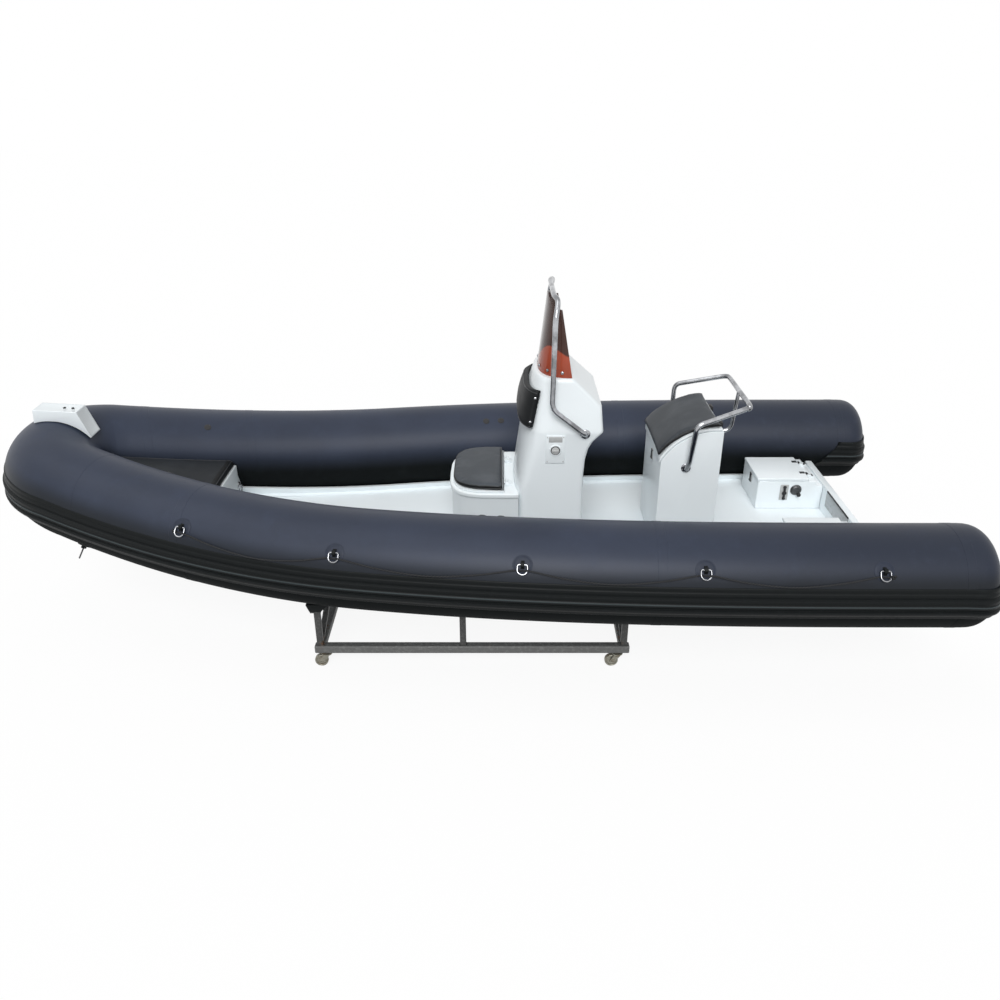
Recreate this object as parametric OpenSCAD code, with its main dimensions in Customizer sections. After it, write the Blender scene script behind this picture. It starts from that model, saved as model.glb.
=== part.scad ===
// Rigid inflatable boat with console and helm seat, standing on its wheeled cradle.
// X runs to the bow, Y to port and Z up. Z is zero on the floor under the caster wheels.

/* [Tubes] */
// Outer diameter of the buoyancy tubes
tube_d = 500; // [480:5:520]
// Run of each tube from its stern end ring to the nose arc
side_len = 4420; // [4300:10:4600]
// Half distance between the tube centres at the stern
stern_half = 854; // [840:2:880]
// Share of the stern width that has drawn in where the nose arc starts
draw_share = 0.656; // [0.63:0.002:0.66]
// Rise of the nose of the tubes above the stern
bow_rise = 224; // [190:4:250]
// Height of the tube centres above the floor at the stern
tube_z = 650; // [645:1:665]
// Depth of the rounded stern end of each tube
dome = 145; // [140:5:200]
// Thickness of the rub strake
strake_t = 20; // [14:1:24]

/* [Hull and deck] */
// Depth of the keel below the chine
keel_depth = 243; // [215:1:245]
// Height of the transom top above the deck
transom_h = 160; // [140:5:175]
// Thickness of the transom
transom_t = 40; // [35:1:50]
// Height of the coaming strip above the deck
coaming_h = 45; // [35:1:50]

/* [Console] */
// Half width of the console at its foot
console_half = 290; // [280:2:300]
// Height of the console top above the deck
console_h = 980; // [960:5:1000]
// Height of the windshield
shield_h = 385; // [340:5:400]
// Diameter of the stainless rails
rail_d = 26; // [22:1:30]

/* [Seats and lockers] */
// Height of the front seat base above the deck
front_seat_h = 360; // [340:5:380]
// Half width of the front seat cushion
front_half = 273; // [260:1:280]
// Half width of the helm seat box
helm_half = 250; // [240:2:256]
// Height of the stern locker box above the deck
locker_h = 182; // [160:2:190]
// Thickness of the walls of seats and lockers
wall = 18; // [14:1:22]
// Thickness of the front seat cushion
pad_t = 30; // [24:1:36]

/* [Cradle] */
// Side of the square cradle tubes
bar = 44; // [40:1:50]
// Half distance between the long cradle bars
cradle_half = 700; // [690:2:710]
// Diameter of the caster wheels
wheel_d = 70; // [64:1:74]
// Trail of each caster wheel behind its swivel
trail = 30; // [26:1:34]

/* [Hidden] */
$fn = 48;

GELCOAT = "#eef3f6";
TUBE = "#353a45";
VINYL = "#26282c";
STEEL = "#c9ccd0";
GALVANISED = "#77797a";
AMBER = "#a4512c";
BLACK = "#17181a";

// Tube path: a cubic draw-in along the side, then an arc round the nose
tube_r = tube_d / 2;
draw_in = draw_share * stern_half;
joint_angle = atan(3 * draw_in / side_len);
nose_r = (stern_half - draw_in) / cos(joint_angle);
nose_run = nose_r * (1 - sin(joint_angle));
over_l = 2 * strake_t + dome + side_len + nose_run + tube_r;
stern_x = strake_t + dome - over_l / 2;
tip_x = over_l / 2 - strake_t - tube_r;
nose_cx = tip_x - nose_r;
function along(share) = stern_x + share * side_len;
mid_x = along(0.532);
rise_x = along(0.645);
rise_k = bow_rise / pow(tip_x - rise_x, 2);
function rise(x) = x > rise_x ? rise_k * pow(x - rise_x, 2) : 0;
// A path point is x, y, z and its heading towards the centreline
function side_pt(u) =
    let (x = stern_x + u * side_len)
    [x, stern_half - draw_in * pow(u, 3), tube_z + rise(x), atan(3 * draw_in * u * u / side_len)];
function side_at(x) = side_pt((x - stern_x) / side_len);
function nose_pt(v) =
    let (th = joint_angle + v * (90 - joint_angle), x = nose_cx + nose_r * sin(th))
    [x, nose_r * cos(th), tube_z + rise(x), th];
// Point at an inboard offset and a height from a path point, on port (1) or starboard (-1)
function off(p, inboard, up, s = 1) =
    [p[0] - inboard * sin(p[3]), s * (p[1] - inboard * cos(p[3])), p[2] + up];
SIDE_N = 20;
NOSE_N = 6;
port_pts = concat([for (i = [0:SIDE_N]) side_pt(i / SIDE_N)], [for (i = [1:NOSE_N]) nose_pt(i / NOSE_N)]);
function mix(a, b, f) = a * (1 - f) + b * f;
// Point of the path on the straight run between its stations
function station(x) = (x - stern_x) / side_len * SIDE_N;
function chord_at(x) =
    let (i = floor(station(x)))
    mix(port_pts[i], port_pts[i + 1], station(x) - i);
// Stations of the path between two places, with the places themselves as ends
function run_from(x0, clear) = concat([chord_at(x0)], [for (p = port_pts) if (p[0] > x0 + clear) p]);
function reversed(v) = [for (i = [len(v) - 1:-1:0]) v[i]];

// Closed skin over a list of rings that all have the same number of points
module skin(rings) {
    m = len(rings[0]);
    n = len(rings);
    walls = [for (i = [0:n - 2], j = [0:m - 1])
        [i * m + j, (i + 1) * m + j, (i + 1) * m + (j + 1) % m, i * m + (j + 1) % m]];
    caps = [[for (j = [0:m - 1]) j], [for (j = [m - 1:-1:0]) (n - 1) * m + j]];
    polyhedron(points = [for (r = rings) for (p = r) p], faces = concat(walls, caps), convexity = 6);
}

// Round bar along a route of points, with the ring frames carried from one to the next
function unit(v) = v / norm(v);
function heading(r, i) = unit(r[min(i + 1, len(r) - 1)] - r[max(i - 1, 0)]);
function carried(r, i, u) =
    let (d = heading(r, i), w = unit(u - (u * d) * d))
    i + 1 < len(r) ? concat([w], carried(r, i + 1, w)) : [w];
module round_bar(route, d, sides = 12, start = [0, 1, 0.1]) {
    frames = carried(route, 0, start);
    skin([for (i = [0:len(route) - 1])
        let (w = frames[i], b = cross(heading(route, i), w))
        [for (k = [0:sides - 1])
            route[i] + d / 2 * (cos(360 * k / sides) * w + sin(360 * k / sides) * b)]]);
}
// A route with its corners rounded over a given reach
function bent(r, reach, n = 5) = [for (i = [0:len(r) - 1])
    each (i == 0 || i == len(r) - 1) ? [r[i]] :
        let (a = r[i] + reach * unit(r[i - 1] - r[i]), b = r[i] + reach * unit(r[i + 1] - r[i]))
        [for (k = [0:n]) let (t = k / n) (1 - t) * (1 - t) * a + 2 * t * (1 - t) * r[i] + t * t * b]];

// Extrusion across the boat of an outline drawn in X and Z
module across(y0, y1) translate([0, y1, 0]) rotate([90, 0, 0]) linear_extrude(y1 - y0) children();
module both_sides() {
    children();
    mirror([0, 1, 0]) children();
}

// Levels and stations
keep = 6;
deck_drop = 0.84 * tube_r;
deck_t = 15;
deck_z = tube_z - deck_drop;
deck_edge = 0.6 * tube_r;
transom_x = along(0.059);
bow_face_x = along(0.8465);
touch = 0.5;

// Hull: keel, chine and top edge follow the tubes forward to the stem
chine_in = 0.276 * tube_r;
chine_drop = 1.028 * tube_r;
keel_x = along(0.6);
stem_x = tip_x - tube_r * 0.4;
function keel_fall(x) = keel_depth * (1 - pow(max(0, (x - keel_x) / (stem_x - keel_x)), 2.4)) + 12;
boat_run = run_from(transom_x + touch, 60);
function first(v, drop) = [for (i = [0:len(v) - 1 - drop]) v[i]];
hull_pts = first(boat_run, 2);
module hull() color(GELCOAT) skin([for (p = hull_pts)
    let (c = off(p, chine_in, -chine_drop), u = off(p, deck_edge - 8, -deck_drop - deck_t))
    [[c[0], 0, c[2] - keel_fall(c[0])], c, u, [u[0], -u[1], u[2]], [c[0], -c[1], c[2]]]]);

// Deck: a thin panel on the hull, from the transom to the stem
deck_pts = first(boat_run, 3);
module deck() color(GELCOAT) skin([for (p = deck_pts)
    let (a = off(p, deck_edge, -deck_drop - deck_t + touch), b = off(p, deck_edge, -deck_drop))
    [a, b, [b[0], -b[1], b[2]], [a[0], -a[1], a[2]]]]);

// Coaming strips lean on the tubes along both sides of the deck and stand taller at the bow
coaming_pts = concat([for (p = run_from(transom_x + 60, 60)) if (p[0] < bow_face_x - 60) p],
    [chord_at(bow_face_x - 10)]);
function coaming_ring(p, s) =
    let (lift = 0.35 * (p[2] - tube_z), top = coaming_h - deck_drop + lift)
    [off(p, deck_edge + 2, touch - deck_drop, s),
     off(p, sqrt(pow(tube_r + keep + 4, 2) - pow(top, 2)), top, s),
     off(p, sqrt(pow(tube_r + keep + 4, 2) - pow(top, 2)) + 22, top, s),
     off(p, deck_edge + 76, touch - deck_drop, s)];
module coaming() color(GELCOAT) {
    skin([for (p = coaming_pts) coaming_ring(p, 1)]);
    skin([for (p = coaming_pts) reversed(coaming_ring(p, -1))]);
}

// Transom: a plate across the stern, cut clear of the tubes
transom_top = deck_z + transom_h;
stern_p = side_at(transom_x);
chine_y = stern_p[1] - chine_in;
chine_z = tube_z - chine_drop;
keel_z = chine_z - keel_depth - 12;
module transom() color(GELCOAT) difference() {
    translate([transom_x - transom_t, 0, 0]) rotate([90, 0, 90]) linear_extrude(transom_t)
        polygon([[0, keel_z], [chine_y, chine_z], [chine_y, transom_top], [-chine_y, transom_top],
            [-chine_y, chine_z]]);
    both_sides() translate([transom_x - 2 * transom_t, stern_p[1], tube_z]) rotate([0, 90, 0])
        cylinder(r = tube_r + keep, h = 4 * transom_t);
}

// Metal plates that take the engine clamp on both faces of the transom
plate_half = 170;
plate_t = 5;
module engine_plates() color(STEEL) {
    translate([transom_x, -plate_half, transom_top - 100]) cube([plate_t, 2 * plate_half, 90]);
    translate([transom_x - transom_t - plate_t, -plate_half, transom_top - 210])
        cube([plate_t, 2 * plate_half, 200]);
}

// Tubes: one collar from stern to stern round the nose
TUBE_SIDES = 36;
function tube_ring(p, r, s) =
    [for (k = [0:TUBE_SIDES - 1]) off(p, -r * cos(360 * k / TUBE_SIDES), r * sin(360 * k / TUBE_SIDES), s)];
// The strake stands this far off the rounded stern ends
strake_seat = 4;
DOME_STEPS = [0.995, 0.96, 0.87, 0.7, 0.4];
function dome_r(t) = tube_r * pow(1 - pow(t, 2.6), 1 / 2.6);
function dome_rings(s) = [for (t = DOME_STEPS)
    tube_ring([stern_x - (dome - strake_seat) * t, stern_half, tube_z, 0], dome_r(t), s)];
module tube_collar() color(TUBE) skin(concat(
    dome_rings(1),
    [for (p = port_pts) tube_ring(p, tube_r, 1)],
    [for (p = reversed(first(port_pts, 1))) tube_ring(p, tube_r, -1)],
    reversed(dome_rings(-1))));

// Rub strake: ribbed strip on the outer side, round the stern ends and on to the inner side
// Columns: height on the tube, and outer thickness there
STRAKE = [[24, 3], [16, 12], [2, 12], [-6, 8], [-14, 12], [-30, 12], [-38, 8], [-46, 20], [-62, 20],
    [-70, 8], [-90, 6]];
// The tube skin falls back above and below its middle, less so on the flat of the stern ends
function skin_at(h, fall) = tube_r - fall * (tube_r - sqrt(pow(tube_r, 2) - pow(h, 2))) + touch;
strake_scale = strake_t / 20;
// A strake point is a plan position, its outward direction and the fall of the skin there
function flat_pt(p) = [off(p, 0, 0), [sin(p[3]), cos(p[3]), 0], 1];
DOME_TURN = [for (a = [0:12:180]) a];
function dome_pt(a) =
    let (gx = -sin(a), gy = cos(a), n = unit([gx * tube_r, gy * dome, 0]))
    [[stern_x + dome * signed_pow(gx, 0.77),
        stern_half + (tube_r + strake_seat) * signed_pow(gy, 0.77), tube_z] - n * tube_r,
        n, 0.25 + 0.75 * pow(gy, 2)];
STRAKE_INNER_X = stern_x + 200;
strake_half = concat(
    [flat_pt([STRAKE_INNER_X, stern_half, tube_z, 180]), flat_pt([stern_x + 40, stern_half, tube_z, 180])],
    [for (a = reversed(DOME_TURN)) dome_pt(a)],
    [for (i = [1:len(port_pts) - 1]) flat_pt(port_pts[i])]);
function strake_ring(q) = concat(
    [for (c = STRAKE) q[0] + q[1] * (skin_at(c[0], q[2]) + c[1] * strake_scale) + [0, 0, c[0]]],
    [for (c = reversed(STRAKE)) q[0] + q[1] * skin_at(c[0], q[2]) + [0, 0, c[0]]]);
function flipped(q) = [[q[0][0], -q[0][1], q[0][2]], [q[1][0], -q[1][1], 0], q[2]];
module rub_strake() color(BLACK) skin(concat(
    [for (q = strake_half) reversed(strake_ring(q))],
    [for (q = reversed(first(strake_half, 1))) reversed(strake_ring(flipped(q)))]));

// Nose piece: a saddle over the nose of the tubes
nose_w = 120;
module nose_piece() color(GELCOAT) difference() {
    across(-nose_w / 2, nose_w / 2) polygon([
        [tip_x + 76, tube_z + bow_rise + tube_r - 30], [tip_x + 66, tube_z + bow_rise + tube_r + 66],
        [tip_x - 165, tube_z + bow_rise + tube_r + 53], [tip_x - 219, tube_z + bow_rise + tube_r - 92],
        [tip_x - 189, tube_z + bow_rise + tube_r - 116]]);
    for (back = [0, 6, 16]) translate([tip_x - back, 0, tube_z + bow_rise]) rotate([90, 0, 0])
        cylinder(r = tube_r + touch, h = 2 * nose_w, center = true);
}

// Bow locker: the step that fills the bow between the tubes, with its cushion on top
locker_top = 15;
// Columns: distance inboard of the tube centre and height from it, in tube radii
BOW_SECTION = [[0.632, 1.5 / tube_r - 0.84], [0.86, -0.56], [1.032, -0.2], [1.036, locker_top / tube_r]];
PAD_SECTION = [[1.036, (locker_top + touch) / tube_r], [1.036, (locker_top + 42) / tube_r]];
// Inner side of the tubes on a cut across the boat: distance from the centreline, and height of the tube centre
function inner_cut(x, inboard) =
    let (r = max(nose_r - inboard, 12), turn = (x - nose_cx) / r)
    turn > sin(joint_angle) ?
        [r * cos(asin(turn)), tube_z + rise(nose_cx + nose_r * turn)] :
        let (p = side_at(x + inboard * sin(side_at(x + inboard * 0.27)[3])))
        [p[1] - inboard * cos(p[3]), p[2]];
bow_end_x = nose_cx + 0.9 * max(nose_r - 1.036 * tube_r, 12);
BOW_CUTS = [0, 0.2, 0.4, 0.57, 0.72, 0.84, 0.93, 1];
function bow_half(table, s, x) = [for (c = table)
    let (q = inner_cut(x, c[0] * tube_r))
    [x, s * q[0], q[1] + c[1] * tube_r]];
module bow_skin(table) skin([for (f = BOW_CUTS)
    let (x = mix(bow_face_x, bow_end_x, f))
    concat(bow_half(table, 1, x), reversed(bow_half(table, -1, x)))]);
module bow_locker() color(GELCOAT) bow_skin(BOW_SECTION);
module bow_cushion() color(VINYL) bow_skin(PAD_SECTION);

// Rings on eye plates on the aft face of the bow locker
module ring_torus(r, wire) rotate_extrude($fn = 28) translate([r, 0]) circle(d = wire, $fn = 14);
module locker_rings() color(STEEL) both_sides() translate([bow_face_x, 235, deck_z + 168]) {
    translate([-touch, 0, 0]) rotate([0, -90, 0]) cylinder(d = 36, h = 6);
    translate([-9.3, 0, -24]) rotate([90, 0, 90]) ring_torus(24, 6);
}

// Console: level outlines with a rounded front, stacked from foot to top
console_top = deck_z + console_h;
console_foot = deck_z + touch;
function cx(x) = mid_x + x;
top_gain = console_h - 980;
// Columns: height above the deck, front, back, narrowing on each side, depth of the rounded front
CONSOLE_LEVELS = [[touch, -240, -605, 0, 72], [385, -240, -600, 0, 72], [470, -250, -600, 0, 94],
    [560, -262, -606, 0, 114], [620, -270, -620, 0, 127], [660, -275, -642, 0, 136], [690, -279, -672, 0, 145],
    [712, -282, -694, 0, 149], [842 + top_gain, -297, -682, 32, 169], [980 + top_gain, -342, -535, 62, 148]];
FRONT_STEPS = [for (a = [-90:15:90]) a];
function signed_pow(v, e) = sign(v) * pow(abs(v), e);
// Rounded front of an outline: x and y at a turning angle
function front_pt(a, front, round, half, e) =
    [cx(front) - round + round * signed_pow(cos(a), e), half * signed_pow(sin(a), e)];
function console_ring(c) =
    let (half = console_half - c[3], z = deck_z + c[0])
    concat([for (a = FRONT_STEPS) let (q = front_pt(a, c[1], c[4], half, 0.7)) [q[0], q[1], z]],
        [[cx(c[2]), half, z], [cx(c[2]), -half, z]]);
module console() color(GELCOAT) skin([for (c = CONSOLE_LEVELS) console_ring(c)]);

// Windshield: a wrapped sheet that narrows towards its top
shield_t = 5;
SHIELD_STEPS = [for (a = [-90:10:90]) a];
function shield_pt(a, half, depth, back, z) =
    [cx(back) + depth * signed_pow(cos(a), 0.8), half * signed_pow(sin(a), 0.8), z];
module windshield() color(AMBER, 0.6) skin([for (a = reversed(SHIELD_STEPS))
    let (top = console_top + shield_h - 45 * pow(sin(a), 2), low = console_top + touch)
    [shield_pt(a, 216, 170, -528, low), shield_pt(a, 178, 66, -470, top),
     shield_pt(a, 178 - shield_t, 66 - shield_t, -470, top),
     shield_pt(a, 216 - shield_t, 170 - shield_t, -528, low)]]);

// Console rail: one hoop from side to side over the windshield
rail_y = console_half + rail_d / 2 + 14;
hoop_half = 205;
CONSOLE_ROUTE = [[cx(-600), rail_y - 18, console_top - 274], [cx(-592), rail_y, console_top - 262],
    [cx(-425), rail_y, console_top - 130], [cx(-430), rail_y - 20, console_top + 330],
    [cx(-446), hoop_half + 40, console_top + 402], [cx(-426), hoop_half - 30, console_top + 412]];
module console_rail() color(STEEL) {
    half = bent(CONSOLE_ROUTE, 12, 3);
    round_bar(concat(half, [for (p = reversed(half)) [p[0], -p[1], p[2]]]), rail_d, 12, [0.3, 0.1, 1]);
    both_sides() translate([cx(-600), console_half + touch, console_top - 274]) rotate([-90, 0, 0])
        cylinder(d = 2 * rail_d, h = 6);
}

// Backrest cushion: a band round the front of the console
BACKREST_LEVELS = [CONSOLE_LEVELS[7] + [15, 0, 0, 2, 2], CONSOLE_LEVELS[8],
    CONSOLE_LEVELS[8] + [80, -25.5, 0, 17, -12]];
BACKREST_STEPS = [for (a = [-60:15:60]) a];
backrest_t = 36;
function backrest_pt(a, c, grow) =
    let (q = front_pt(a, c[1] + grow, c[4] + grow, console_half - c[3] + grow, 0.7))
    [q[0], q[1], deck_z + c[0]];
module backrest_cushion() color(VINYL) skin([for (a = reversed(BACKREST_STEPS))
    concat([for (c = BACKREST_LEVELS) backrest_pt(a, c, backrest_t)],
        [for (c = reversed(BACKREST_LEVELS)) backrest_pt(a, c, touch)])]);

// Battery switch plate with its round dial on the port side of the console
module switch_panel() color(GELCOAT) {
    translate([cx(-498), console_half + touch, deck_z + 545]) cube([100, 5, 155]);
    translate([cx(-448), console_half + 5, deck_z + 618]) rotate([-90, 0, 0]) cylinder(d = 62, h = 14);
}

// Hinges: a leaf with lugs holds a pin on the lid's axis, and a knuckle of the lid turns on the pin
barrel_d = 8;
barrel_rise = 11.5;
barrel_play = 0.3;
leaf_w = 50;
leaf_reach = 35;
knuckle_d = 14;
knuckle_w = 26;
axis_up = touch + barrel_rise;
axis_back = 11;
module hinge_leaf() {
    translate([0, -leaf_w / 2, 0]) cube([leaf_reach - 11, leaf_w, 5]);
    for (s = [-1, 1]) translate([leaf_reach - 17, s * 20 - 5, 1]) cube([22, 10, barrel_rise + 4]);
    translate([leaf_reach, 0, barrel_rise]) rotate([90, 0, 0])
        cylinder(d = barrel_d, h = leaf_w - 2, center = true);
}
module knuckle(reach, low) difference() {
    union() {
        rotate([90, 0, 0]) cylinder(d = knuckle_d, h = knuckle_w, center = true);
        translate([0, 1 - knuckle_w / 2, low]) cube([reach, knuckle_w - 2, 8]);
    }
    rotate([90, 0, 0]) cylinder(d = barrel_d + barrel_play, h = 2 * knuckle_w, center = true);
}

// Front seat: a hollow base with a lip, a hinged lid and its cushion
seat_front = 100;
seat_back = -183;
seat_z = deck_z + front_seat_h;
module seat_plan(grow, back) {
    depth = seat_front - seat_back + grow;
    half = front_half + grow;
    polygon(concat([for (a = [-90:10:90]) front_pt(a, seat_front + grow, depth, half, 0.55)],
        [[cx(back), half], [cx(back), -half]]));
}
// The base ends beside the rounded front of the console, which is cut out of it
SEAT_END = -262;
module console_plan(grow) {
    level = CONSOLE_LEVELS[0];
    polygon([for (a = FRONT_STEPS) front_pt(a, level[1] + grow, level[4] + grow, console_half + grow, 0.7)]);
}
module front_seat_base() color(GELCOAT) difference() {
    union() {
        translate([0, 0, console_foot]) linear_extrude(front_seat_h - 1) seat_plan(4, SEAT_END);
        translate([0, 0, seat_z - 24]) linear_extrude(24) seat_plan(14, SEAT_END);
    }
    translate([0, 0, deck_z]) linear_extrude(front_seat_h + 10) console_plan(touch);
    translate([0, 0, deck_z + 40]) linear_extrude(front_seat_h) intersection() {
        seat_plan(-wall, seat_back - 2);
        translate([cx(seat_back) + wall, -front_half]) square(2 * front_half);
    }
}
lid_gap = 2;
lid_t = 12;
module front_seat_lid() color(GELCOAT) {
    translate([0, 0, seat_z + lid_gap]) linear_extrude(lid_t) seat_plan(-4, seat_back - 2);
    both_sides() translate([cx(seat_back) - 2 - axis_back, 150, seat_z + axis_up]) knuckle(axis_back + 4, -7);
}
module front_seat_cushion() color(VINYL)
    translate([0, 0, seat_z + lid_gap + lid_t + touch]) linear_extrude(pad_t) intersection() {
        seat_plan(0, seat_back - 2);
        translate([cx(seat_back) + 4, -front_half]) square(2 * front_half);
    }

// Helm seat: a box with an arched top, a hinged arched lid and its cushion
helm_r = 320;
helm_cx = cx(-1290);
helm_cz = deck_z + 703 - helm_r;
HELM_FRONT = -1008;
HELM_BACK = -1322;
module helm_box(inset, r) intersection() {
    translate([cx(HELM_BACK) + inset, console_foot]) square([HELM_FRONT - HELM_BACK - 2 * inset, 800]);
    union() {
        translate([helm_cx, helm_cz]) circle(r = r, $fn = 96);
        translate([cx(HELM_BACK), console_foot]) square([400, 520]);
    }
}
module helm_seat_base() color(GELCOAT) difference() {
    across(-helm_half, helm_half) helm_box(0, helm_r);
    across(wall - helm_half, helm_half - wall) intersection() {
        helm_box(wall, helm_r + 100);
        translate([cx(-1400), deck_z + 60]) square([500, 900]);
    }
}
// Arched strip over the box between two radii, from the front edge to the back edge
module helm_arch(r0, r1, front, back) intersection() {
    difference() {
        translate([helm_cx, helm_cz]) circle(r = r1, $fn = 96);
        translate([helm_cx, helm_cz]) circle(r = r0, $fn = 96);
    }
    translate([cx(back), deck_z + 500]) square([front - back, 400]);
}
HELM_LID = [helm_r + lid_gap, helm_r + lid_gap + lid_t];
HELM_PAD = [HELM_LID[1] + touch, HELM_LID[1] + 26];
helm_axis_z = deck_z + 705;
module helm_seat_lid() color(GELCOAT) {
    across(2 - helm_half, helm_half - 2) helm_arch(HELM_LID[0], HELM_LID[1], HELM_FRONT + 8, HELM_BACK + 6);
    both_sides() translate([cx(HELM_BACK) - axis_up, 120, helm_axis_z]) knuckle(axis_up + 10, 0);
}
module helm_seat_cushion() color(VINYL)
    across(8 - helm_half, helm_half - 8) helm_arch(HELM_PAD[0], HELM_PAD[1], HELM_FRONT + 14, HELM_BACK + 8);

// Helm rail: a hoop behind the seat with a strut to its back
rail_foot = [cx(-1142), deck_z + 498];
HELM_ROUTE = [[rail_foot[0], helm_half + rail_d / 2 + 3, rail_foot[1]], [cx(-1149), helm_half + 40, deck_z + 545],
    [cx(-1162), 322, deck_z + 764], [cx(-1436), 255, deck_z + 837], [cx(-1444), 215, deck_z + 837]];
// The strut drops from the hoop and bends forward to its foot on the back of the box
strut_z = deck_z + 600;
HELM_STRUT = [[cx(-1442), 0, deck_z + 837], [cx(-1424), 0, strut_z + 12], [cx(HELM_BACK) - 4, 0, strut_z]];
module helm_rail() color(STEEL) {
    half = bent(HELM_ROUTE, 22, 4);
    round_bar(concat(half, [for (p = reversed(half)) [p[0], -p[1], p[2]]]), rail_d, 12, [0.3, 0.1, 1]);
    round_bar(bent(HELM_STRUT, 40, 4), rail_d * 0.8, 12);
    both_sides() translate([rail_foot[0], helm_half + touch, rail_foot[1]]) rotate([-90, 0, 0])
        cylinder(d = 2 * rail_d, h = 6);
    translate([cx(HELM_BACK) - touch, 0, strut_z]) rotate([0, -90, 0]) cylinder(d = 2 * rail_d, h = 6);
}

// Stern lockers: hollow boxes beside the engine well with lids hinged at the back
locker_back_x = transom_x + 40;
lid_back_x = locker_back_x + 50;
locker_front_x = locker_back_x + 350;
locker_out = stern_half - tube_r - 29;
locker_in = locker_out - 325;
locker_z = deck_z + locker_h;
// Drop of the moulded step between the lid's hinges and the transom
step_drop = 30;
module stern_locker() difference() {
    union() {
        translate([locker_back_x, locker_in, console_foot])
            cube([locker_front_x - locker_back_x, locker_out - locker_in, locker_h - touch]);
        translate([transom_x + touch, locker_in, console_foot])
            cube([locker_back_x - transom_x, locker_out - locker_in, locker_h - step_drop]);
    }
    translate([lid_back_x + wall, locker_in + wall, deck_z + 40])
        cube([locker_front_x - lid_back_x - 2 * wall, locker_out - locker_in - 2 * wall, locker_h]);
}
STERN_HINGE_Y = [locker_in + 80, locker_in + 240];
module stern_lid() {
    translate([lid_back_x, locker_in - 4, locker_z + lid_gap])
        cube([locker_front_x - lid_back_x + 6, locker_out - locker_in - 8, 18]);
    for (y = STERN_HINGE_Y) translate([lid_back_x - axis_back, y, locker_z + axis_up])
        knuckle(axis_back + 4, -7);
}
module stern_locker_port() color(GELCOAT) stern_locker();
module stern_locker_starboard() color(GELCOAT) mirror([0, 1, 0]) stern_locker();
module stern_lid_port() color(GELCOAT) stern_lid();
module stern_lid_starboard() color(GELCOAT) mirror([0, 1, 0]) stern_lid();

// Hinge leaves behind the lids
module hinges() color(BLACK) both_sides() {
    translate([cx(seat_back) - 2 - axis_back - leaf_reach, 150, seat_z + touch]) hinge_leaf();
    for (y = STERN_HINGE_Y) translate([lid_back_x - axis_back - leaf_reach, y, locker_z + touch]) hinge_leaf();
    translate([cx(HELM_BACK) - touch, 120, helm_axis_z - leaf_reach]) rotate([0, -90, 0]) hinge_leaf();
}

// Toggle latches under the lids. Columns: x, y, z of the latch body
LATCHES = [[cx(HELM_FRONT) + touch, 0, deck_z + 440], [locker_front_x + touch, locker_in + 150, deck_z + 110],
    [locker_front_x + touch, -locker_in - 150, deck_z + 110], [cx(seat_front) + 4 + touch, 0, seat_z - 90]];
module latches() color(BLACK) for (l = LATCHES) translate(l) translate([0, -18, 0]) cube([10, 36, 60]);

// Shut-off tee on its plate and filler cap on the inner side of the starboard locker
module locker_fittings() color(STEEL) translate([locker_back_x, -locker_in, deck_z]) {
    translate([165, touch, 60]) cube([50, 4, 100]);
    translate([182, 4, 70]) cube([16, 14, 76]);
    translate([120, touch, 125]) rotate([-90, 0, 0]) cylinder(d = 62, h = 16);
    translate([110, 16, 100]) cube([20, 12, 34]);
}

// Local frame on the flat of the tube skin nearest an angle: Z out of the skin, X forward, Y up round the tube
facet = 360 / TUBE_SIDES;
function flat_angle(a) = (floor(a / facet) + 0.5) * facet;
module on_tube(share, near_angle, s, lift = touch) {
    i = floor(share * SIDE_N);
    a = flat_angle(near_angle);
    r = tube_r * cos(facet / 2);
    from = off(port_pts[i], -r * cos(a), r * sin(a), s);
    to = off(port_pts[i + 1], -r * cos(a), r * sin(a), s);
    h = chord_at(along(share))[3];
    ahead = unit(to - from);
    out = [cos(a) * sin(h), s * cos(a) * cos(h), sin(a)];
    up = unit(out - (out * ahead) * ahead);
    side = s * cross(ahead, up);
    o = mix(from, to, share * SIDE_N - i) + lift * up;
    multmatrix([for (k = [0:2]) [ahead[k], side[k], up[k], o[k]]]) children();
}
// Air valves on the inner upper side of the tubes, at these shares of the side
VALVES = [0.892, 0.518, 0.497];
valve_angle = 125;
module valves() color(BLACK) for (x = VALVES, s = [-1, 1]) on_tube(x, valve_angle, s) cylinder(d = 40, h = 7);

// Towing rings on patches under the bow tubes
tow_share = 0.975;
module tow_rings() color(STEEL) for (s = [-1, 1]) on_tube(tow_share, -55, s) {
    cylinder(d = 70, h = 6);
    translate([-8, -14, 5]) cube([16, 28, 14]);
    translate([0, 0, 42]) rotate([0, 90, 0]) ring_torus(30, 8);
}

// Lifeline rings: a round patch with a loop, and a ring that hangs in it
RINGS = [0.831, 0.663, 0.468, 0.283, 0.102];
ring_angle = 35;
ring_r = 24;
ring_lift = 15;
module d_ring_patches() color(BLACK) for (x = RINGS, s = [-1, 1]) on_tube(x, ring_angle, s) difference() {
    union() {
        cylinder(d = 96, h = 2);
        translate([-12, -10, 1]) cube([24, 20, 21]);
    }
    translate([0, -ring_r, ring_lift]) ring_torus(ring_r, 7.6);
}
module d_rings() color(STEEL) for (x = RINGS, s = [-1, 1])
    on_tube(x, ring_angle, s) translate([0, -ring_r, ring_lift]) ring_torus(ring_r, 7);

// Lifelines: the line goes under and over each ring and hangs between them
// Columns: distance ahead of the ring, lift off the tube
PASS = [[34, 7.5], [18, 7.5], [-18, 24], [-34, 24]];
pass_angle = 29;
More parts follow.
